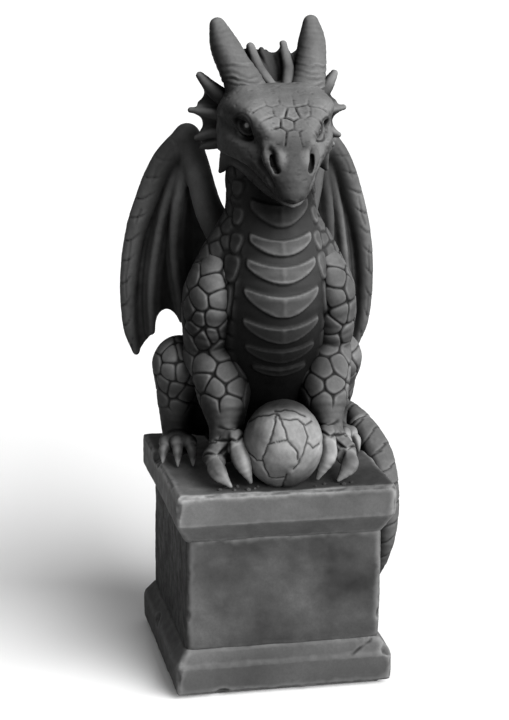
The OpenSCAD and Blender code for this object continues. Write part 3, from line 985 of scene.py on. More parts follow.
# The middles of the plates on the forehead and bridge, across and up.
forehead_plates = [
    [-4.2, 52.3], [-2.4, 52.6], [-0.6, 52.6], [1.4, 52.6], [3.2, 52.5], [5.0, 52.2], [-3.5, 51.1],
    [-1.6, 51.2], [0.4, 51.2],
    [2.2, 51.2], [4.2, 51.0], [-2.6, 49.9], [-0.8, 50.0], [0.7, 49.6], [2.3, 49.9], [3.9, 49.8],
    [-3.4, 48.8], [-1.9, 48.7],
    [-0.2, 48.5], [1.6, 48.4], [3.2, 48.6], [-1.5, 47.3], [0.3, 47.0], [2.2, 47.2],
]
facing_front = head.normals[:, 1] < -0.15
centres = []
for plate_x, plate_z in forehead_plates:
    off = (x - plate_x) ** 2 + (z - plate_z) ** 2 + np.where(facing_front, 0, 99)
    centres.append(head.points[np.argmin(off)])
border, near = rounded_cells(head.points, np.array(centres), 0.05)
needle = 0.27 * (1 - step_between(0.0, 0.24, border)) * step_between(2.4, 1.8, near) * facing_front
needle *= step_between(45.7, 46.3, z) * step_between(52.0, 50.2, z)
needle *= (0.7 + 0.5 * rough(head.points, 1.3, 61)).clip(0.1, 1) * step_between(-4.2, -5.0, y)
folded = np.abs(straight) * (1, 0, 0) + straight * (0, 1, 1)
brow_line = near_line(folded, [p[:3] for p in brow])
needle *= step_between(1.0, 1.6, brow_line)
back = step_between(-1.5, 0.5, y)
centres = scale_centres(head.points, back > 0.3, 1.7, 9)
pebbles = (scales(head.points, centres, 0.2, 0.2) - 0.1) * back
creases = -0.05 * step_between(0.35, 0.75, rough(head.points * (1, 1, 2.2), 0.9, 65)) * (1 - back)
head.raise_by(pebbles - needle + creases + 0.025 * rough(head.points, 0.8, 63))

# The eyes are lined in with a fine brush: dark round the ball and under the lids, which also paints the
# shade there, and one pale dot on the middle, a painted glint.
lining, eye_glint = np.zeros(len(x)), np.zeros(len(x))
for ex, ey, ez, way in eyes:
    facing = looking(way)
    off = straight - (ex, ey, ez)
    deep = off @ facing
    out = np.linalg.norm(off - deep[:, None] * facing, axis=1)
    open_side = step_between(-1.2, -0.4, deep)
    for ring, wide in ((0.8, 0.16), (1.55, 0.2)):
        lining = np.maximum(lining, open_side * step_between(wide, 0.4 * wide, np.abs(out - ring)))
    eye_glint = np.maximum(eye_glint, open_side * step_between(0.45, 0.2, out))
mouth = near_line(folded, [(p[0], p[1], p[2] - 0.6) for p in upper_lip])
head.marks["bare"] = np.maximum(0.85 * lining, 0.9 * step_between(0.5, 0.25, mouth))
head.marks["shade"] = eye_glint
head_piece = head.make("head_casting", 9, 0.13)
head_paint = painted_resin("head_paint", 0.006, 0.105, 0.18, patch=0.22, patch_size=5.0, shade=0.26,
                           bare_tone=0.03)
finish_piece(head_piece, head_paint, "scale_paint", "head")

# ---- Lower jaw ----
# A thin jaw cast on its own and glued under the muzzle, so the mouth shows as one dark line; a spur at
# each corner.

jaw_clay = Clay((-9, -15, cap_z + 36), (9, 1.5, cap_z + 45), 0.13)
jaw = [[4.7, -2.2, 42.9, 1.9, 2.2, 1.5], [3.3, -6.0, 41.8, 1.8, 2.3, 1.2], [1.9, -9.8, 39.9, 1.4, 1.9, 0.95],
       [0.2, -12.2, 38.6, 1.0, 1.0, 0.7]]
jaw_clay.add(both_sides(jaw), 0.8)
lower_lip = [[5.3, -4.2, 43.5, 0.42], [4.3, -6.9, 42.6, 0.42], [3.1, -9.5, 41.0, 0.42],
             [1.9, -11.9, 39.4, 0.42],
             [0.9, -13.0, 38.5, 0.4], [-0.1, -13.3, 38.2, 0.4]]
jaw_clay.add(both_sides(lower_lip), 0.3)
jaw_clay.add(both_sides([[5.6, -2.8, 44.6, 1.6], [6.1, -2.4, 43.2, 1.35], [6.8, -2.0, 41.8, 0.7],
                         [7.3, -1.9, 41.0, 0.25]]), 0.5)
jaw_cast = Casting(jaw_clay)
x, y, z = jaw_cast.points.T
centres = scale_centres(jaw_cast.points, (z - cap_z < 41.0) & (y > -9.5), 1.5, 15)
under = step_between(-9.5, -8.0, y) * step_between(41.4, 40.6, z - cap_z)
jaw_cast.raise_by((scales(jaw_cast.points, centres, 0.14, 0.2) - 0.07) * under + 0.02
                  * rough(jaw_cast.points, 0.8, 67))
jaw_piece = jaw_cast.make("lower_jaw_casting", 9, 0.13)
finish_piece(jaw_piece, head_paint, "scale_paint", "lower_jaw")

# ---- Horns ----
# Two blunt, thick horns of cast resin, let into the skull and glued, with growth wrinkles round the lower
# part. They are painted a plain mid grey, with no scales.

horn_paint = painted_resin("horn_paint", 0.02, 0.08, 0.13, patch=0.15, patch_size=4.0, grain=0.02)
horn_lines = {
    "horn_left": [[4.3, -2.6, 51.4, 2.5], [4.9, -1.8, 53.0, 2.3], [5.5, -0.8, 55.2, 2.1],
                  [6.0, 0.2, 57.8, 1.85], [6.1, 1.0, 60.2, 1.1]],
    "horn_right": [[-3.6, -2.6, 51.2, 2.9], [-4.0, -1.8, 52.8, 2.55], [-4.9, -0.8, 54.8, 2.2],
                   [-5.9, 0.2, 57.4, 1.95],
                   [-6.6, 1.0, 60.0, 1.1]],
}
for name, line in horn_lines.items():
    way = 1 if name == "horn_left" else -1
    ends = np.array([p[:3] for p in on_neck(line)])
    horn_clay = Clay(ends.min(0) - 3.6, ends.max(0) + (3.6, 3.6, 2.0), 0.15)
    horn_clay.add(limb(on_neck(line), 4), 0)
    cast = Casting(horn_clay)
    up = cast.points[:, 2] - cap_z
    wander = 0.35 * lump(cast.points, 2.6, 70 + way) + 0.15 * lump(cast.points, 0.9, 72 + way)
    wrinkles = np.zeros(len(up))
    for at, deep in ((52.0, 0.16), (52.7, 0.14), (53.4, 0.18), (54.1, 0.1), (54.9, 0.14), (56.0, 0.06),
                     (57.3, 0.04)):
        patchy = (0.6 + 0.7 * lump(cast.points + at, 2.2, 75)).clip(0, 1)
        wrinkles -= 0.7 * deep * patchy * np.exp(-((up + wander - at) / 0.13) ** 2)
        wrinkles += 0.5 * deep * patchy * np.exp(-((up + wander - at - 0.3) / 0.2) ** 2)
    cast.raise_by(wrinkles + 0.03 * rough(cast.points, 1.4, 77))
    piece = cast.make(name + "_casting", 9, 0.13)
    finish_piece(piece, horn_paint, "horn_paint", name)

# ---- Crest ----
# A small fan of cast resin between the horns, glued on the crown: two thick rounded spines, three thin
# ones, and webs sunk between them, painted dark, partly their own colour and partly painted shade.

skin_thick = 0.34


def web(first, second, thick, sag, count):
    """A skin stretched from one line to another: strands across it, sagging backwards in the middle."""
    a, b = even_line(first, count), even_line(second, count)
    masses = []
    for p, q in zip(a, b):
        middle = (p + q) / 2 + np.array((0, 1, 0)) * sag
        masses += limb([[*p, thick], [*middle, thick], [*q, thick]], 2)
    return masses


def even_line(stations, count):
    """count places evenly along the curve through the stations."""
    line = np.array([p[:3] for p in smooth_line(stations, 6)])
    far = np.concatenate([[0], np.cumsum(np.linalg.norm(np.diff(line, axis=0), axis=1))])
    at = np.linspace(0, far[-1], count)
    return np.stack([np.interp(at, far, line[:, k]) for k in range(3)], axis=1)


def off_spines(points, spines, near, far):
    """0 on the spines and 1 on the web between them."""
    away = np.min([near_line(points, [p[:3] for p in on_neck(line)]) for line in spines], axis=0)
    return step_between(near, far, away)


crest_clay = Clay((-6.5, -5, cap_z + 49.5), (6.5, 3.5, cap_z + 60), 0.12)
crest_spines = [
    [[-2.6, -1.6, 51.6, 0.5], [-3.3, -0.4, 54.4, 0.4], [-3.7, 0.6, 56.9, 0.22]],
    [[0.1, -3.2, 51.9, 0.6], [-1.6, -1.2, 54.4, 0.78], [-2.35, 0.5, 57.2, 0.6]],
    [[0.8, -1.2, 51.8, 0.3], [-0.1, 0.5, 54.6, 0.25], [-0.8, 0.9, 56.8, 0.36]],
    [[1.4, -3.4, 51.9, 0.7], [2.3, -1.4, 54.4, 0.82], [2.1, 0.5, 57.4, 0.62]],
    [[2.9, -1.8, 51.8, 0.5], [3.7, -0.4, 54.4, 0.4], [4.0, 0.6, 56.7, 0.22]],
]
for line in crest_spines:
    crest_clay.add(limb(on_neck(line), 5), 0.3)
for first, second in zip(crest_spines[:-1], crest_spines[1:]):
    low_a, low_b = [s[:] for s in first], [s[:] for s in second]
    low_a[-1][2] -= 0.5
    low_b[-1][2] -= 0.5
    crest_clay.add(web(on_neck(low_a), on_neck(low_b), skin_thick, 0.7, 40), 0.3)
crest_clay.cut([head_egg((0.8, 0.8, 57.2), (0.9, 2.0, 0.9)), head_egg((3.3, 0.8, 57.3), (0.7, 2.0, 1.1))],
               0.2)
crest_clay.add(limb(on_neck([[-2.8, -1.4, 51.4, 1.0], [0.6, -2.0, 51.6, 1.3], [3.1, -1.6, 51.4, 1.0]])), 0.4)
crest_cast = Casting(crest_clay)
crest_cast.raise_by(0.03 * rough(crest_cast.points, 0.9, 81))
# The webs between the spines are painted dark: their own colour and painted shade.
crest_cast.marks["bare"] = off_spines(crest_cast.points, crest_spines[:2] + crest_spines[3:], 0.55, 1.0)
crest_piece = crest_cast.make("crest_casting", 12, 0.22)
finish_piece(crest_piece, head_paint, "scale_paint", "crest")

# ---- Ear frills ----
# One frill of cast resin behind each cheek, let into the head: four stiff spines, the top one longest,
# with a thin web between them, painted dark, partly its own colour and partly painted shade.

frill = [
    [[4.6, -1.6, 49.6, 1.2], [7.3, 0.0, 51.3, 1.1], [9.2, 1.2, 53.4, 0.55]],
    [[5.4, -1.2, 48.0, 0.9], [8.0, 0.6, 48.5, 0.72], [10.5, 1.8, 48.75, 0.42]],
    [[5.6, -1.0, 46.2, 0.9], [7.9, 0.6, 45.8, 0.7], [9.8, 1.9, 45.0, 0.42]],
    [[5.4, -0.8, 44.8, 0.9], [7.3, 0.8, 44.3, 0.7], [9.0, 2.1, 43.7, 0.42]],
]
for way, name in ((1, "ear_frill_left"), (-1, "ear_frill_right")):
    spines = [mirrored(line, way) for line in frill]
    ends = np.array([p[:3] for line in spines for p in on_neck(line)])
    frill_clay = Clay(ends.min(0) - 1.6, ends.max(0) + 1.6, 0.12)
    for line in spines:
        frill_clay.add(limb(on_neck(line), 5), 0.25)
    for first, second in zip(spines[:-1], spines[1:]):
        first_root, first_middle, first_tip = (np.array(p[:3]) for p in first)
        second_root, second_middle, second_tip = (np.array(p[:3]) for p in second)
        upper = on_neck([first_root, first_middle, 0.3 * first_middle + 0.7 * first_tip])
        lower = on_neck([second_root, second_middle, 0.4 * second_middle + 0.6 * second_tip])
        frill_clay.add(web(upper, lower, skin_thick, 0.9, 34), 0.35)
    for first, second in zip(spines[:-1], spines[1:]):
        middle = (np.array(first[2][:3]) + np.array(second[2][:3])) / 2 + (0.5 * way, 0.2, 0)
        gap = abs(first[2][2] - second[2][2])
        if gap > 2:
            frill_clay.cut([head_egg(middle, (1.7, 3.0, min(0.4 * gap, 1.5) - 0.1))], 0.3)
    cast = Casting(frill_clay)
    cast.raise_by(0.03 * rough(cast.points, 0.9, 83))
    # The web between the spines is painted dark: its own colour and painted shade.
    cast.marks["bare"] = off_spines(cast.points, spines, 0.7, 1.2)
    piece = cast.make(name + "_casting", 12, 0.22)
    finish_piece(piece, head_paint, "scale_paint", name)

# ---- Wings ----
# Folded wings, one casting each: a thick arm up to the wrist and down the leading edge, two rib bones,
# and thin skin sunk between them with a scooped lower edge. The skin is painted near black, partly its own
# colour and partly painted shade, and the arms and bones lighter.

wing_arm = [[3.8, 5.6, 29.0, 2.6], [6.7, 7.2, 34.0, 2.0], [8.3, 8.6, 40.2, 1.8], [9.4, 9.8, 44.0, 1.8]]
wing_lead = [[9.4, 9.8, 44.0, 1.8], [12.4, 11.0, 40.5, 1.75], [14.6, 11.9, 35.6, 1.6],
             [16.5, 12.6, 29.4, 1.4],
             [17.3, 12.9, 22.6, 1.2], [17.1, 13.0, 16.4, 0.95], [16.2, 13.0, 12.8, 0.5]]
rib_outer = [[9.6, 10.0, 42.6, 0.9], [12.2, 11.0, 34.6, 0.7], [13.6, 11.6, 27.6, 0.62],
             [14.2, 11.8, 21.6, 0.55], [14.0, 12.0, 16.0, 0.4]]
rib_inner = [[9.2, 9.6, 42.0, 0.9], [10.8, 10.0, 34.4, 0.8], [11.2, 10.1, 28.6, 0.7],
             [10.7, 10.0, 23.0, 0.6], [9.6, 9.6, 18.0, 0.4]]
wing_root = [[8.1, 8.4, 40.0, 0.6], [6.0, 7.6, 32.0, 0.6], [5.6, 7.8, 26.0, 0.6], [6.2, 8.4, 19.0, 0.5]]


def nearest_along(points, stations):
    """How far along a curve each point lies, in millimetres, and the offset from the curve there."""
    line = np.array([p[:3] for p in smooth_line(stations, 8)])
    far = np.concatenate([[0], np.cumsum(np.linalg.norm(np.diff(line, axis=0), axis=1))])
    best, along, offset = np.full(len(points), 1e9), np.zeros(len(points)), np.zeros((len(points), 3))
    for i, (a, b) in enumerate(zip(line[:-1], line[1:])):
        run = b - a
        t = np.clip(((points - a) @ run) / (run @ run), 0, 1)
        away = points - a - t[:, None] * run
        square = (away ** 2).sum(1)
        closer = square < best
        best = np.where(closer, square, best)
        along = np.where(closer, far[i] + t * (far[i + 1] - far[i]), along)
        offset = np.where(closer[:, None], away, offset)
    return along, offset


wing_paint = painted_resin("wing_paint", 0.006, 0.075, 0.13, patch=0.3, patch_size=6.0, bare_tone=0.004,
                           under=0.2)
for way, name in ((1, "wing_left"), (-1, "wing_right")):
    arm, lead, outer, inner, root = (on_cap(mirrored(line, way))
                                     for line in (wing_arm, wing_lead, rib_outer, rib_inner, wing_root))
    low, high = size_of(name)
    wing_clay = Clay(np.array(low) - 1.5, np.array(high) + 1.5, 0.19)
    wing_clay.add(web(lead, outer, skin_thick, 0.8, 110), 0)
    wing_clay.add(web(outer, inner, skin_thick, 1.0, 90), 0.3)
    wing_clay.add(web(inner, root, skin_thick, 1.2, 90), 0.3)
    scoops = [egg(on_cap([[11.9 * way, 11.4, 15.6]])[0], (2.0, 2.6, 3.6)),
              egg(on_cap([[7.9 * way, 9.4, 16.4]])[0], (1.6, 2.2, 3.0))]
    wing_clay.cut(scoops, 0.25)
    for line in (outer, inner):
        wing_clay.add(limb(line, 4), 0.5)
    wing_clay.add(limb(arm, 4), 0.8)
    wing_clay.add(limb(lead, 4), 0.4)
    cast = Casting(wing_clay, 5)
    along, offset = nearest_along(cast.points, lead)
    reach = np.linalg.norm(offset, axis=1)
    on_lead = step_between(1.9, 1.6, reach) * step_between(0.5, 1.5, along)
    side = (offset[:, 0] * way / np.maximum(reach, 0.1))
    bow = along + 1.1 * (1 - side) ** 2 + 0.3 * lump(cast.points, 2.0, 91)
    pitch = 3.1
    cut = np.abs((bow / pitch) % 1.0 - 0.5) * pitch
    mark = 1 - step_between(0.0, 0.2, cut)
    step_up = 0.05 * ((bow / pitch + 0.5) % 1.0)
    ragged = np.abs(side - 0.35 - 0.15 * lump(cast.points, 1.6, 93))
    split = (1 - step_between(0.0, 0.16, ragged)) * (lump(cast.points, 3.5, 95) > 0.1)
    seen_side = step_between(0.1, 0.5, cast.normals @ (0, -1, 0))
    on_lead *= step_between(-0.35, 0.15, side)
    cast.raise_by(on_lead * seen_side * (step_up - 0.22 * mark - 0.14 * split) + 0.03
                  * rough(cast.points, 1.6, 97))
    bones = np.full(len(cast.points), 9.0)
    for line in (arm, lead, outer, inner):
        _, away = nearest_along(cast.points, line)
        thick = np.array([p[3] for p in line]).mean()
        bones = np.minimum(bones, np.linalg.norm(away, axis=1) - thick)
    # Away from the bones the skin is painted near black: its own dark colour and painted shade.
    cast.marks["bare"] = step_between(0.2, 0.9, bones)
    piece = cast.make(name + "_casting", 10, 0.16)
    finish_piece(piece, wing_paint, "wing_paint", name)

# ---- Forelegs ----
# A straight foreleg on each side of the chest, cast on its own and keyed to the shoulder: plated down to
# the wrist, with a paw of two long claws beside the orb. The claws are pale over the same grey on the faces
# turned up and forward only, which is painted light.

seen_right, seen_up, seen_near = (np.array(camera.matrix_world.col[k][:3]) for k in range(3))


def on_surface(cast, marks):
    """Points of a casting, given across and up in millimetres as seen along the camera's own axes."""
    u, v, w = (cast.points @ axis for axis in (seen_right, seen_up, seen_near))
    hidden = np.where(cast.normals @ seen_near > 0.25, 0, 99)
    off = [(u - a) ** 2 + (v - b) ** 2 - 0.02 * w + hidden for a, b in marks]
    return np.array([cast.points[np.argmin(each)] for each in off])


def plated(cast, centres, groove, deep, uneven=0.12):
    """Flat plates with narrow scored grooves: how far to raise each point, and how dark the groove is
    painted, partly dark paint and partly painted shade.
    """
    wander = cast.points + uneven * np.stack([lump(cast.points, 1.6, 101 + k) for k in range(3)], axis=1)
    border, near = rounded_cells(wander, centres, 0.2)
    top = step_between(-0.06, groove, border)
    dome = 0.12 * (1 - (near / 2.2).clip(0, 1) ** 2)
    return deep * (top - 1) + dome * top, 1 - step_between(-0.04, groove * 0.7, border)


def claw(knuckle, bend, tip, wide):
    """One claw: a curved spike with a ridge along its back."""
    middle = [(a + b) / 2 for a, b in zip(knuckle, bend)]
    spike = limb([[*middle, wide], [*bend, wide * 0.92], [*tip, wide * 0.2]], 4)
    back = np.array((0.0, -0.42, 0.3)) * wide
    ridge = limb([[*(np.array(middle) + back), wide * 0.62], [*(np.array(bend) + back), wide * 0.52],
                  [*tip, wide * 0.15]], 4)
    return spike, ridge


foreleg_upper = [[7.3, -1.2, 27.8, 2.6, 4.0, 3.2], [8.1, -1.8, 24.0, 3.7, 4.9, 4.3],
                 [8.3, -1.4, 19.2, 3.6, 4.2, 3.6],
                 [8.5, -0.9, 16.4, 2.9, 3.2, 2.4]]
foreleg_lower = [[8.5, -0.8, 15.8, 3.3], [7.0, -3.2, 14.2, 4.2, 3.3, 3.3], [6.9, -5.2, 10.6, 3.4],
                 [6.9, -6.8, 7.2, 2.4],
                 [7.2, -7.6, 4.4, 2.2]]
fore_toes = [[[6.4, -10.0, 6.0], [5.8, -12.7, 3.6], [4.6, -12.3, 0.7]],
             [[9.0, -9.6, 3.6], [9.0, -12.2, 2.2], [7.4, -12.7, 0.4]]]
# The middles of the plates on the side seen first, across and up along the camera's axes, for each foreleg.
plates_seen = {
    1: [[9.9, 55.6], [10.0, 52.9], [9.8, 50.2], [10.5, 48.0], [8.9, 46.4], [8.9, 43.9], [12.0, 51.5],
        [12.2, 48.5], [8.2, 40.5],
        [6.8, 38.3], [9.6, 38.5], [8.0, 36.2], [10.5, 41.1]],
    -1: [[-7.0, 54.6], [-6.7, 52.1], [-6.0, 49.7], [-6.6, 47.3], [-6.9, 45.0], [-5.1, 45.6], [-5.7, 43.4],
         [-9.6, 53.5],
         [-8.6, 49.6], [-10.0, 48.3], [-8.9, 47.2], [-8.1, 44.6], [-9.5, 46.1], [-8.4, 56.4], [-4.9, 40.0],
         [-6.6, 38.0],
         [-3.7, 38.1], [-4.3, 35.8], [-8.2, 40.9], [-8.3, 39.1]],
}
limb_paint = painted_resin("limb_paint", 0.005, 0.08, 0.15, patch=0.22, patch_size=5.0, shade=0.30,
                           bare_tone=0.012)
for way, name in ((1, "foreleg_left"), (-1, "foreleg_right")):
    low, high = size_of(name)
    leg_clay = Clay(np.array(low) - 1.2, np.array(high) + 1.2, 0.14)
    leg_clay.add(limb(on_cap(mirrored(foreleg_upper, way)), 4), 0)
    leg_clay.add(limb(on_cap(mirrored(foreleg_lower, way)), 4), 0.25)
    elbow = [[9.6, 1.6, 16.6, 1.3], [10.6, 2.2, 15.4, 0.8]]
    leg_clay.add(limb(on_cap(mirrored(elbow, way)), 2), 0.9)
    claws = []
    for knuckle, bend, tip in fore_toes:
        wrist = [7.3, -7.8, 4.6, 1.9]
        half_way = [(wrist[0] + knuckle[0]) / 2, -9.0, (wrist[2] + knuckle[2]) / 2 + 0.6, 1.6]
        toe = on_cap(mirrored([wrist, half_way, [*knuckle, 1.35]], way))
        leg_clay.add(limb(toe, 3), 0.5)
        spike, ridge = claw(*on_cap(mirrored([knuckle, bend, tip], way)), 1.3)
        leg_clay.add(spike, 0.12)
        leg_clay.add(ridge, 0.25)
        end = on_cap(mirrored([[*knuckle, 1.35]], way))[0]
        bend_at = np.array(on_cap(mirrored([bend], way))[0])
        collar = np.array(end[:3]) * 0.72 + bend_at * 0.28
        leg_clay.add([strand([*end[:3], 1.6], [*collar, 1.45])], 0.1)
        claws.append(on_cap(mirrored([[(a + b) / 2 for a, b in zip(knuckle, bend)], bend, tip], way)))
    between = on_cap(mirrored([[7.6, -10.3, 8.0, 0.3], [7.9, -11.3, 5.2, 0.55], [7.9, -11.2, 2.0, 0.6]], way))
    leg_clay.cut(limb(between, 3), 0.5)
    cast = Casting(leg_clay)
    x, y, z = cast.points[:, 0], cast.points[:, 1], cast.points[:, 2] - cap_z
    plated_part = step_between(9.0, 10.4, z + 0.4 * lump(cast.points, 2.0, 103))
    centres = scale_centres(cast.points, z > 9.0, 2.7, 21 + way, given=on_surface(cast, plates_seen[way]))
    height, bare = plated(cast, centres, 0.2, 0.22)
    inner_elbow = np.exp(-(((z - 15.6) / 1.6) ** 2 + ((y + 1.5) / 3.0) ** 2))
    fade = plated_part * (1 - 0.6 * inner_elbow)
    notch, nail = np.zeros(len(x)), np.full(len(x), 9.0)
    for toe in fore_toes:
        knuckle, bend = (np.array(p) for p in on_cap(mirrored(toe[:2], way)))
        run = (bend - knuckle) / np.linalg.norm(bend - knuckle)
        off = cast.points - knuckle
        pointed = off @ run - 1.1 + 0.75 * np.abs(off[:, 0])
        on_back = step_between(-0.2, 0.3, cast.normals @ (0, -0.7, 0.7))
        close = step_between(3.2, 2.6, np.linalg.norm(off, axis=1)) * on_back
        notch = np.maximum(notch, close * np.exp(-(pointed / 0.17) ** 2))
        notch = np.maximum(notch, 0.6 * close * np.exp(-((pointed + 1.9) / 0.17) ** 2))
    cast.raise_by(height * fade - 0.26 * notch + 0.02 * rough(cast.points, 1.1, 105))
    for line in claws:
        along, away = nearest_along(cast.points, line)
        nail = np.minimum(nail, np.linalg.norm(away, axis=1) - 1.31 + 0.12 * along)
    cast.marks["bare"] = np.maximum(bare * fade, 0.8 * notch)
    # The claws are pale only on the faces turned up and forward: painted light on pale claws.
    lit_side = step_between(-0.3, 0.5, -cast.normals[:, 1] + 0.5 * cast.normals[:, 2])
    cast.marks["shade"] = 0.85 * step_between(0.35, -0.1, nail) * lit_side
    piece = cast.make(name + "_casting", 10, 0.15)
    finish_piece(piece, limb_paint, "scale_paint", name)

# ---- Hind legs ----
# The folded hind legs, each cast on its own and keyed to the hip: rounded knee with scored plates, thin
# shank and a three-toed paw flat on the slab. Painted as the forelegs are.

thigh = [[7.4, 7.6, 8.0, 5.2, 5.6, 6.4], [9.2, 5.4, 11.6, 4.6, 4.8, 5.0], [11.2, 2.6, 13.4, 3.9, 3.8, 3.9]]
shank = [[11.4, 2.8, 13.6, 3.6, 3.5, 3.6], [11.5, 4.0, 8.6, 2.9, 3.2, 3.0], [11.5, 4.6, 4.6, 2.3, 2.6, 2.6],
         [11.7, 3.4, 2.4, 2.0, 2.3, 2.0], [11.9, 1.6, 2.3, 2.2, 2.0, 1.7]]
hind_toes = [[[10.6, -0.4, 3.0], [10.5, -2.0, 2.0], [10.5, -2.7, 0.3]],
             [[12.3, -0.2, 3.0], [12.5, -1.8, 2.0], [12.6, -2.5, 0.3]],
             [[13.6, 1.2, 2.7], [14.2, 0.0, 1.8], [14.4, -0.6, 0.3]]]
# The same for each knee; none are set out on the dragon's left.
knee_seen = {1: [], -1: [[-12.5, 42.5], [-11.0, 42.9], [-12.8, 40.2], [-11.2, 40.2], [-12.3, 37.7],
                         [-13.7, 38.4], [-11.7, 35.2],
                         [-10.6, 37.0]]}


def on_hips(stations, way):
    """Places on one hip, moved up onto the plinth; the hips sit a little to the dragon's right."""
    shift = -0.6 - 0.4 * way
    return on_cap([[p[0] + shift, *p[1:]] for p in mirrored(stations, way)])


for way, name in ((1, "hindleg_left"), (-1, "hindleg_right")):
    low, high = size_of(name)
    leg_clay = Clay(np.array(low) - 1.2, np.array(high) + 1.2, 0.16)
    leg_clay.add(limb(on_hips(thigh, way), 4), 0)
    leg_clay.add(limb(on_hips(shank, way), 4), 0.6)
    claws = []
    for toe in hind_toes:
        knuckle, bend, tip = on_hips(toe, way)
        start = on_hips([[11.9, 1.6, 2.6]], way)[0]
        leg_clay.add(limb([[*start, 1.5], [*knuckle, 1.05]], 2), 0.4)
        spike, ridge = claw(knuckle, bend, tip, 0.72)
        leg_clay.add(spike, 0.1)
        leg_clay.add(ridge, 0.15)
        claws.append([knuckle, bend, tip])
    cast = Casting(leg_clay)
    z = cast.points[:, 2] - cap_z
    given = on_surface(cast, knee_seen[way]) if knee_seen[way] else None
    centres = scale_centres(cast.points, z > 5.5, 2.4, 31 + way, given=given)
    height, bare = plated(cast, centres, 0.19, 0.17)
    fade = step_between(5.5, 8.0, z + lump(cast.points, 2.0, 107))
    cast.raise_by(height * fade + 0.02 * rough(cast.points, 1.1, 109))
    nail = np.full(len(z), 9.0)
    for line in claws:
        _, away = nearest_along(cast.points, line)
        nail = np.minimum(nail, np.linalg.norm(away, axis=1) - 0.85)
    cast.marks["bare"] = bare * fade
    cast.marks["shade"] = 0.45 * step_between(0.2, -0.1, nail)
    piece = cast.make(name + "_casting", 10, 0.15)
    finish_piece(piece, limb_paint, "scale_paint", name)

# ---- Tail ----
# The tail leaves the haunches on the dragon's left, curls over the slab's edge and hangs down the plinth.
# It is cast in two lengths, pinned together where it turns down, and shallow bands of scale run its whole
# length.

tail_line = [[1.5, 12.6, 4.4, 3.9], [8.0, 13.2, 3.4, 3.3], [12.6, 10.2, 2.8, 2.8], [14.8, 5.6, 1.9, 2.5],
             [16.6, 1.6, -1.2, 2.4],
             [17.2, -0.6, -6.2, 2.2], [17.2, -0.8, -11.6, 1.9], [16.8, -0.2, -16.0, 1.3],
             [16.2, 0.8, -19.3, 0.6]]
tail_split = np.array((14.8, 5.6, 1.9 + cap_z))
split_way = np.array((0.4, -0.75, -0.5))
split_way /= np.linalg.norm(split_way)


def beyond(point, way, low, high):
    """Everything on the side of a flat cut that way points to."""
    return Mass((np.array(low), np.array(high)),
                lambda x, y, z: -((x - point[0]) * way[0] + (y - point[1]) * way[1] + (z - point[2])
                                  * way[2]))


for name, keep in (("tail_root", 1), ("tail_tip", -1)):
    low, high = size_of(name)
    low, high = np.array(low) - 1.2, np.array(high) + 1.2
    tail_clay = Clay(low, high, 0.15)
    tail_clay.add(limb(on_cap(tail_line), 4), 0)
    tail_clay.cut([beyond(tail_split, split_way * keep, low, high)], 0.05)
    cast = Casting(tail_clay)
    along, offset = nearest_along(cast.points, on_cap(tail_line))
    reach = np.linalg.norm(offset, axis=1).clip(0.2)
    outer = offset @ np.array((0.75, 0.2, 0.63)) / reach
    bow = along + 1.0 * outer + 0.25 * lump(cast.points, 2.0, 111)
    pitch = 2.3
    phase = (bow / pitch) % 1.0
    edge = np.minimum(phase, 1 - phase) * pitch
    height = 0.06 * phase - 0.11 * (1 - step_between(0.0, 0.2, edge))
    cut_face = np.abs((cast.points - tail_split) @ split_way) < 0.35
    height[cut_face] = 0
    cast.raise_by(height + 0.02 * rough(cast.points, 1.1, 113))
    cast.marks["bare"] = 0.7 * (1 - step_between(0.0, 0.2, edge))
    piece = cast.make(name + "_casting", 10, 0.15)
    finish_piece(piece, limb_paint, "scale_paint", name)

# ---- Orb ----
# The orb between the paws: an egg of stone, a little taller than wide, crazed all over with fine cracks.
# A ball primitive, scaled, then cracked with a point, and painted the palest grey of all.

orb_low, orb_high = size_of("orb")
orb_half_wide = 5.3
orb_half_tall = 5.9
orb_middle = np.array([(orb_low.x + orb_high.x) / 2, (orb_low.y + orb_high.y) / 2,
                       orb_high.z - orb_half_tall])
bpy.ops.object.select_all(action="DESELECT")
bpy.ops.mesh.primitive_ico_sphere_add(subdivisions=7, radius=orb_half_wide * MM,
                                      location=orb_middle * MM, scale=(1, 1, orb_half_tall / orb_half_wide))
orb = bpy.context.object
orb.name = "orb_stone"
bpy.ops.object.transform_apply(location=True, rotation=True, scale=True)
only_this(orb)
thin = orb.modifiers.new("thin", "DECIMATE")
thin.ratio = 0.5
bpy.ops.object.modifier_apply(modifier="thin")
bpy.ops.object.shade_smooth()
orb_points = points_of(orb)
orb_normals = normals_of(orb)
turned = orb_points - orb_middle
u, v, w = (turned @ axis for axis in (seen_right, seen_up, seen_near))
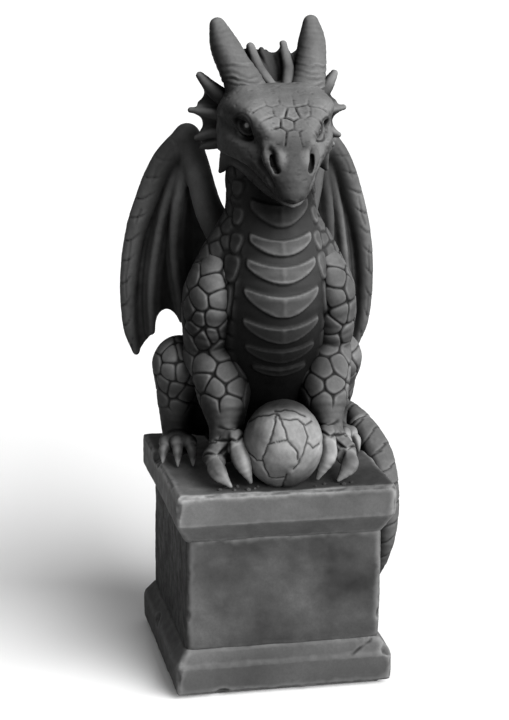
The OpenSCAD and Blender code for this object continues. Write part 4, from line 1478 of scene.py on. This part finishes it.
# Cracks on the side seen first, across and up from the orb's middle.
cracks = [
    [(-3.3, 3.7), (-2.3, 3.95), (-0.9, 4.15), (-0.35, 3.5), (0.9, 3.3), (2.0, 3.45), (3.0, 2.7), (3.9, 3.1)],
    [(-0.9, 4.15), (-1.2, 2.66), (-1.86, 0.27), (-2.5, -1.06), (-2.8, -2.1), (-1.94, -4.3), (-0.93, -4.5),
     (0.13, -4.3)],
    [(-0.7, 4.0), (0.13, 2.1), (0.53, 0.66), (-0.9, 0.45), (-2.1, 0.0)],
    [(0.53, 0.66), (1.86, -1.06), (2.0, -2.4), (1.33, -3.3)],
    [(2.0, -2.4), (2.66, -1.06), (3.06, 0.0), (3.2, 1.06), (2.8, 2.66), (2.0, 3.45)],
    [(0.4, -4.0), (0.13, -4.9), (-0.13, -5.7)],
    [(3.2, 0.3), (4.1, -0.5), (4.8, 0.0)],
    [(-2.9, -2.1), (-3.6, -2.1), (-4.6, -1.06)],
    [(-4.9, 2.7), (-3.3, 3.7)],
    [(-1.1, 4.4), (0.2, 4.65), (1.7, 4.4), (3.0, 3.8)],
]
flat = np.zeros(len(u))
waver = np.stack([lump(orb_points, 0.8, 121), lump(orb_points, 0.8, 123), flat], axis=1)
seen = np.stack([u, v, flat], axis=1) + 0.10 * waver
crack = np.full(len(u), 9.0)
for line in cracks:
    crack = np.minimum(crack, near_line(seen, [(a, b, 0) for a, b in line]))
crack = np.where(w > 0.3, crack, 9.0)
far_side = scale_centres(orb_points, w < 0.3, 3.4, 41)
wander = orb_points + 0.35 * np.stack([lump(orb_points, 1.1, 125 + k) for k in range(3)], axis=1)
_, border = nearest_two(wander, far_side)
crack = np.minimum(crack, np.where(w < 0.3, border, 9.0))
width = 0.1 + 0.03 * lump(orb_points, 1.0, 129)
deep = -0.16 * (1 - step_between(0.02, 1.0, crack / (2 * width)))
swell = 0.09 * step_between(0.1, 1.2, crack) + 0.05 * rough(orb_points, 3.0, 127)
set_points(orb, orb_points + orb_normals * (deep + swell + 0.02 * rough(orb_points, 0.8, 131))[:, None])
mark_relief(orb, 8, 0.13)
store(orb, "bare", 1 - step_between(0.03, 0.12, crack))
orb_paint = painted_resin("orb_paint", 0.012, 0.155, 0.22, patch=0.25, patch_size=4.0, bare_tone=0.035,
                          under=0.12)
finish_piece(orb, orb_paint, "orb_paint", "orb")

# ---- Stone chips ----
# Crumbs of stone round the claw tips, moulded on the slab and painted with it. They are small uneven
# balls, pressed a little flat.

chip_mesh = bmesh.new()
crumbs = np.random.default_rng(7)
for at_x, at_y in ((-8.9, -13.0), (-7.0, -13.5), (-6.3, -12.0), (-4.2, -13.2), (-3.6, -12.4), (5.4, -13.0),
                   (9.2, -12.9), (-5.2, -13.7),
                   (-7.9, -11.9), (4.0, -13.7), (7.9, -13.6)):
    size = crumbs.uniform(0.2, 0.42)
    made = bmesh.ops.create_icosphere(chip_mesh, subdivisions=1, radius=size * MM)["verts"]
    for vert in made:
        vert.co *= 1 + crumbs.uniform(-0.25, 0.25)
        vert.co.z *= 0.8
        vert.co += Vector((at_x, at_y, cap_z + 0.25 * size)) * MM
chip_data = bpy.data.meshes.new("stone_chips")
chip_mesh.to_mesh(chip_data)
chip_mesh.free()
chips = bpy.data.objects.new("stone_chips", chip_data)
bpy.context.scene.collection.objects.link(chips)
finish_piece(chips, slab_paint, "stone_paint")

# ---- Felt pad ----
# A thin square of black felt glued under the base, cut a little smaller than the stone. Its edge is
# fluffed by the cutting.

pad_low, pad_high = size_of("felt_pad")
pad_inset = 0.8
glued_in = 0.05
pad = new_block("felt_pad_cloth", (pad_low.x + pad_inset, pad_low.y + pad_inset, pad_low.z),
                (pad_high.x - pad_inset, pad_high.y - pad_inset, pad_high.z + glued_in))
bevel_all(pad, 0.12, 2)
remesh(pad, stone_fine)
felt_points = points_of(pad)
fluff = 0.05 * rough(felt_points, 0.7, 141) * step_between(0.0, 0.2, felt_points[:, 2])
set_points(pad, felt_points + normals_of(pad) * fluff[:, None])
felt = bpy.data.materials.new("felt")
felt.use_nodes = True
felt_shader = felt.node_tree.nodes["Principled BSDF"]
felt_place = felt.node_tree.nodes.new("ShaderNodeTexCoord").outputs["Object"]
fibres = noise(felt.node_tree, felt_place, 3000, 6.0, 0.7)
felt_tone = blend_tones(felt.node_tree, ramp(felt.node_tree, fibres, 0.3, 0.7), grey(0.006), grey(0.02))
felt.node_tree.links.new(felt_tone, felt_shader.inputs["Base Color"])
felt_shader.inputs["Roughness"].default_value = 0.95
felt_shader.inputs["Sheen Weight"].default_value = 0.3
felt_bump = felt.node_tree.nodes.new("ShaderNodeBump")
felt_bump.inputs["Distance"].default_value = 0.1 * MM
felt.node_tree.links.new(fibres, felt_bump.inputs["Height"])
felt.node_tree.links.new(felt_bump.outputs["Normal"], felt_shader.inputs["Normal"])
finish_piece(pad, felt, "felt", "felt_pad")

# ---- Painted light and shade ----
# Every casting gets painted light and shade: pale as far as a wide cone from in front and above reaches
# each point, as if pale primer were sprayed over black, and dark wherever the cone is blocked: painted
# shade under the belly, between the legs and behind the wings. Listed passes then paint more light or
# shade into some places.

# Passes of painted light and shade over the pieces: the middle of each pass from the cap's top, its reach
# each way, and how much painted light it adds, or below nought the share of painted light it takes away,
# which is painted shade. The pale marks and painted glints lie over both.
painted_light_and_shade_passes = [
    [[0.0, -6.0, 13.5], [11, 9, 18], -1.0],
    [[0.5, -12.0, 43.3], [6, 6, 7], -0.65],
    [[-6.5, -6.0, 44.0], [4, 6, 5], 0.12],
    [[5.5, -6.0, 40.5], [5, 7, 6], -0.5],
    [[0.0, -6.0, 38.0], [6, 7, 5], -0.6],
    [[-1.1, -13.6, 44.2], [1.1, 1.2, 1.9], 0.5],
    [[1.9, -13.6, 44.2], [1.1, 1.2, 1.9], 0.5],
    [[-2.5, -11.4, 46.0], [1.1, 1.1, 1.1], 0.4],
    [[3.1, -11.4, 46.0], [1.1, 1.1, 1.1], 0.4],
    [[-8.5, 0.0, 47.0], [3, 4, 6], 0.12],
    [[-10.0, -8.0, 10.0], [4, 6, 5], -0.2],
    [[-8.0, -5.0, 25.0], [5, 6, 5], 0.12],
    [[8.5, -5.0, 25.0], [5, 6, 5], -0.3],
    [[-8.0, -10.0, 13.0], [4, 5, 5], 0.06],
    [[5.5, -10.0, 13.0], [4, 5, 5], 0.22],
    [[0.2, -10.5, 11.5], [6, 5, 5], -1.0],
    [[-9.5, -13.0, 2.0], [2.5, 5, 4], -0.5],
    [[9.5, -13.0, 2.0], [2.5, 5, 4], -0.5],
    [[4.8, -13.0, 3.5], [2.5, 4, 5], 0.3],
    [[-13.5, -2.0, 11.0], [5, 8, 11], 0.3],
    [[-4.0, -13.0, 3.0], [5, 6, 6], 0.4],
    [[-8.5, 8.6, 37.0], [5, 5, 10], 0.3],
    [[-16.0, 12.0, 28.0], [6, 8, 20], 0.15],
    [[17.0, 12.0, 19.0], [6, 8, 12], -0.4],
    [[10.5, 10.0, 32.0], [4, 4, 14], -0.7],
    [[-13.0, -4.0, 0.0], [9, 16, 2], 0.7],
    [[11.0, -11.0, 0.0], [9, 8, 2], -0.8],
    [[-16.5, 0.0, -3.5], [4, 18, 6], 0.6],
    [[-17.5, 0.0, -14.0], [5, 20, 22], -0.8],
    [[0.0, -17.0, -27.5], [28, 9, 10], -0.8],
]


def spray_cone(toward, count):
    """Directions in a wide cone round toward, and how strong the painted light is along each."""
    k = np.arange(count * 2) + 0.5
    high = 1 - k / count
    round_ = np.pi * (1 + 5 ** 0.5) * k
    flat = np.sqrt(1 - high ** 2)
    ways = np.stack([flat * np.cos(round_), flat * np.sin(round_), high], axis=1)
    toward = np.array(toward) / np.linalg.norm(toward)
    strength = ways @ toward
    within = strength > 0.45
    return ways[within], strength[within] ** 2


def spray(pieces, toward, cell=0.9, throw=26):
    """Stores on every piece how much painted light lands at each point; where little lands, it is painted
    shade.
    """
    places = [points_of(piece) for piece in pieces]
    low = np.min([p.min(0) for p in places], axis=0) - 3 * cell
    shape = np.ceil((np.max([p.max(0) for p in places], axis=0) + 3 * cell - low) / cell).astype(int)
    solid = np.zeros(shape + 2 * throw, bool)
    for p in places:
        at = ((p - low) / cell).astype(int) + throw
        solid[tuple(at.T)] = True
    ways, strength = spray_cone(toward, 60)
    open_to = []
    for way in ways:
        shut = np.zeros(shape, bool)
        for step in range(2, throw):
            move = np.round(way * step).astype(int) + throw
            shut |= solid[move[0]:move[0] + shape[0], move[1]:move[1] + shape[1], move[2]:move[2] + shape[2]]
        open_to.append(~shut)
    open_to = np.stack(open_to, axis=-1).astype(np.float32)
    full = (np.clip(ways @ (np.array(toward) / np.linalg.norm(toward)), 0, 1) * strength).sum()
    for piece, p in zip(pieces, places):
        facing = normals_of(piece)
        reach = np.zeros(len(p))
        for start in range(0, len(p), batch):
            part = slice(start, start + batch)
            spot = (p[part] + facing[part] * 1.3 * cell - low) / cell - 0.5
            base_at = np.floor(spot).astype(int)
            f = spot - base_at
            seen_open = 0
            for corner in np.ndindex(2, 2, 2):
                at = np.clip(base_at + corner, 0, shape - 1)
                weight = np.prod(np.where(np.array(corner), f, 1 - f), axis=1)
                seen_open = seen_open + weight[:, None] * open_to[tuple(at.T)]
            reach[part] = (seen_open * (facing[part] @ ways.T).clip(0) * strength).sum(1) / full
        reach = spread_over(reach, links_of(piece), 3, 0.5)
        # Painted light where the cone reaches a point, and painted shade where the castings block it.
        painted_light_share = ((reach - 0.12) / 0.56).clip(0, 1) ** 1.4
        # Each pass paints more light into a place, or more shade.
        for middle, size, amount in painted_light_and_shade_passes:
            far = np.linalg.norm((p - on_cap([middle])[0]) / size, axis=1)
            passed = step_between(1.0, 0.35, far)
            painted_light_share = painted_light_share + amount * passed if amount > 0 else painted_light_share * (1 + amount * passed)
        # The pale claws and the painted eye glints stay pale over the painted shade.
        if "shade" in piece.data.attributes:
            pale_marks_and_glints = np.zeros(len(p), np.float32)
            piece.data.attributes["shade"].data.foreach_get("value", pale_marks_and_glints)
            painted_light_share = np.maximum(painted_light_share, 0.5 * pale_marks_and_glints)
        store(piece, "spray", painted_light_share.clip(0, 2))


# Painted light and shade, from in front and above, on every casting.
spray(castings, (0.28, -0.5, 0.82))

# ---- Finished figure's box ----
# The box of the finished figure is measured, leaving out the hidden designed pieces and the floor.

low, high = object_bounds()
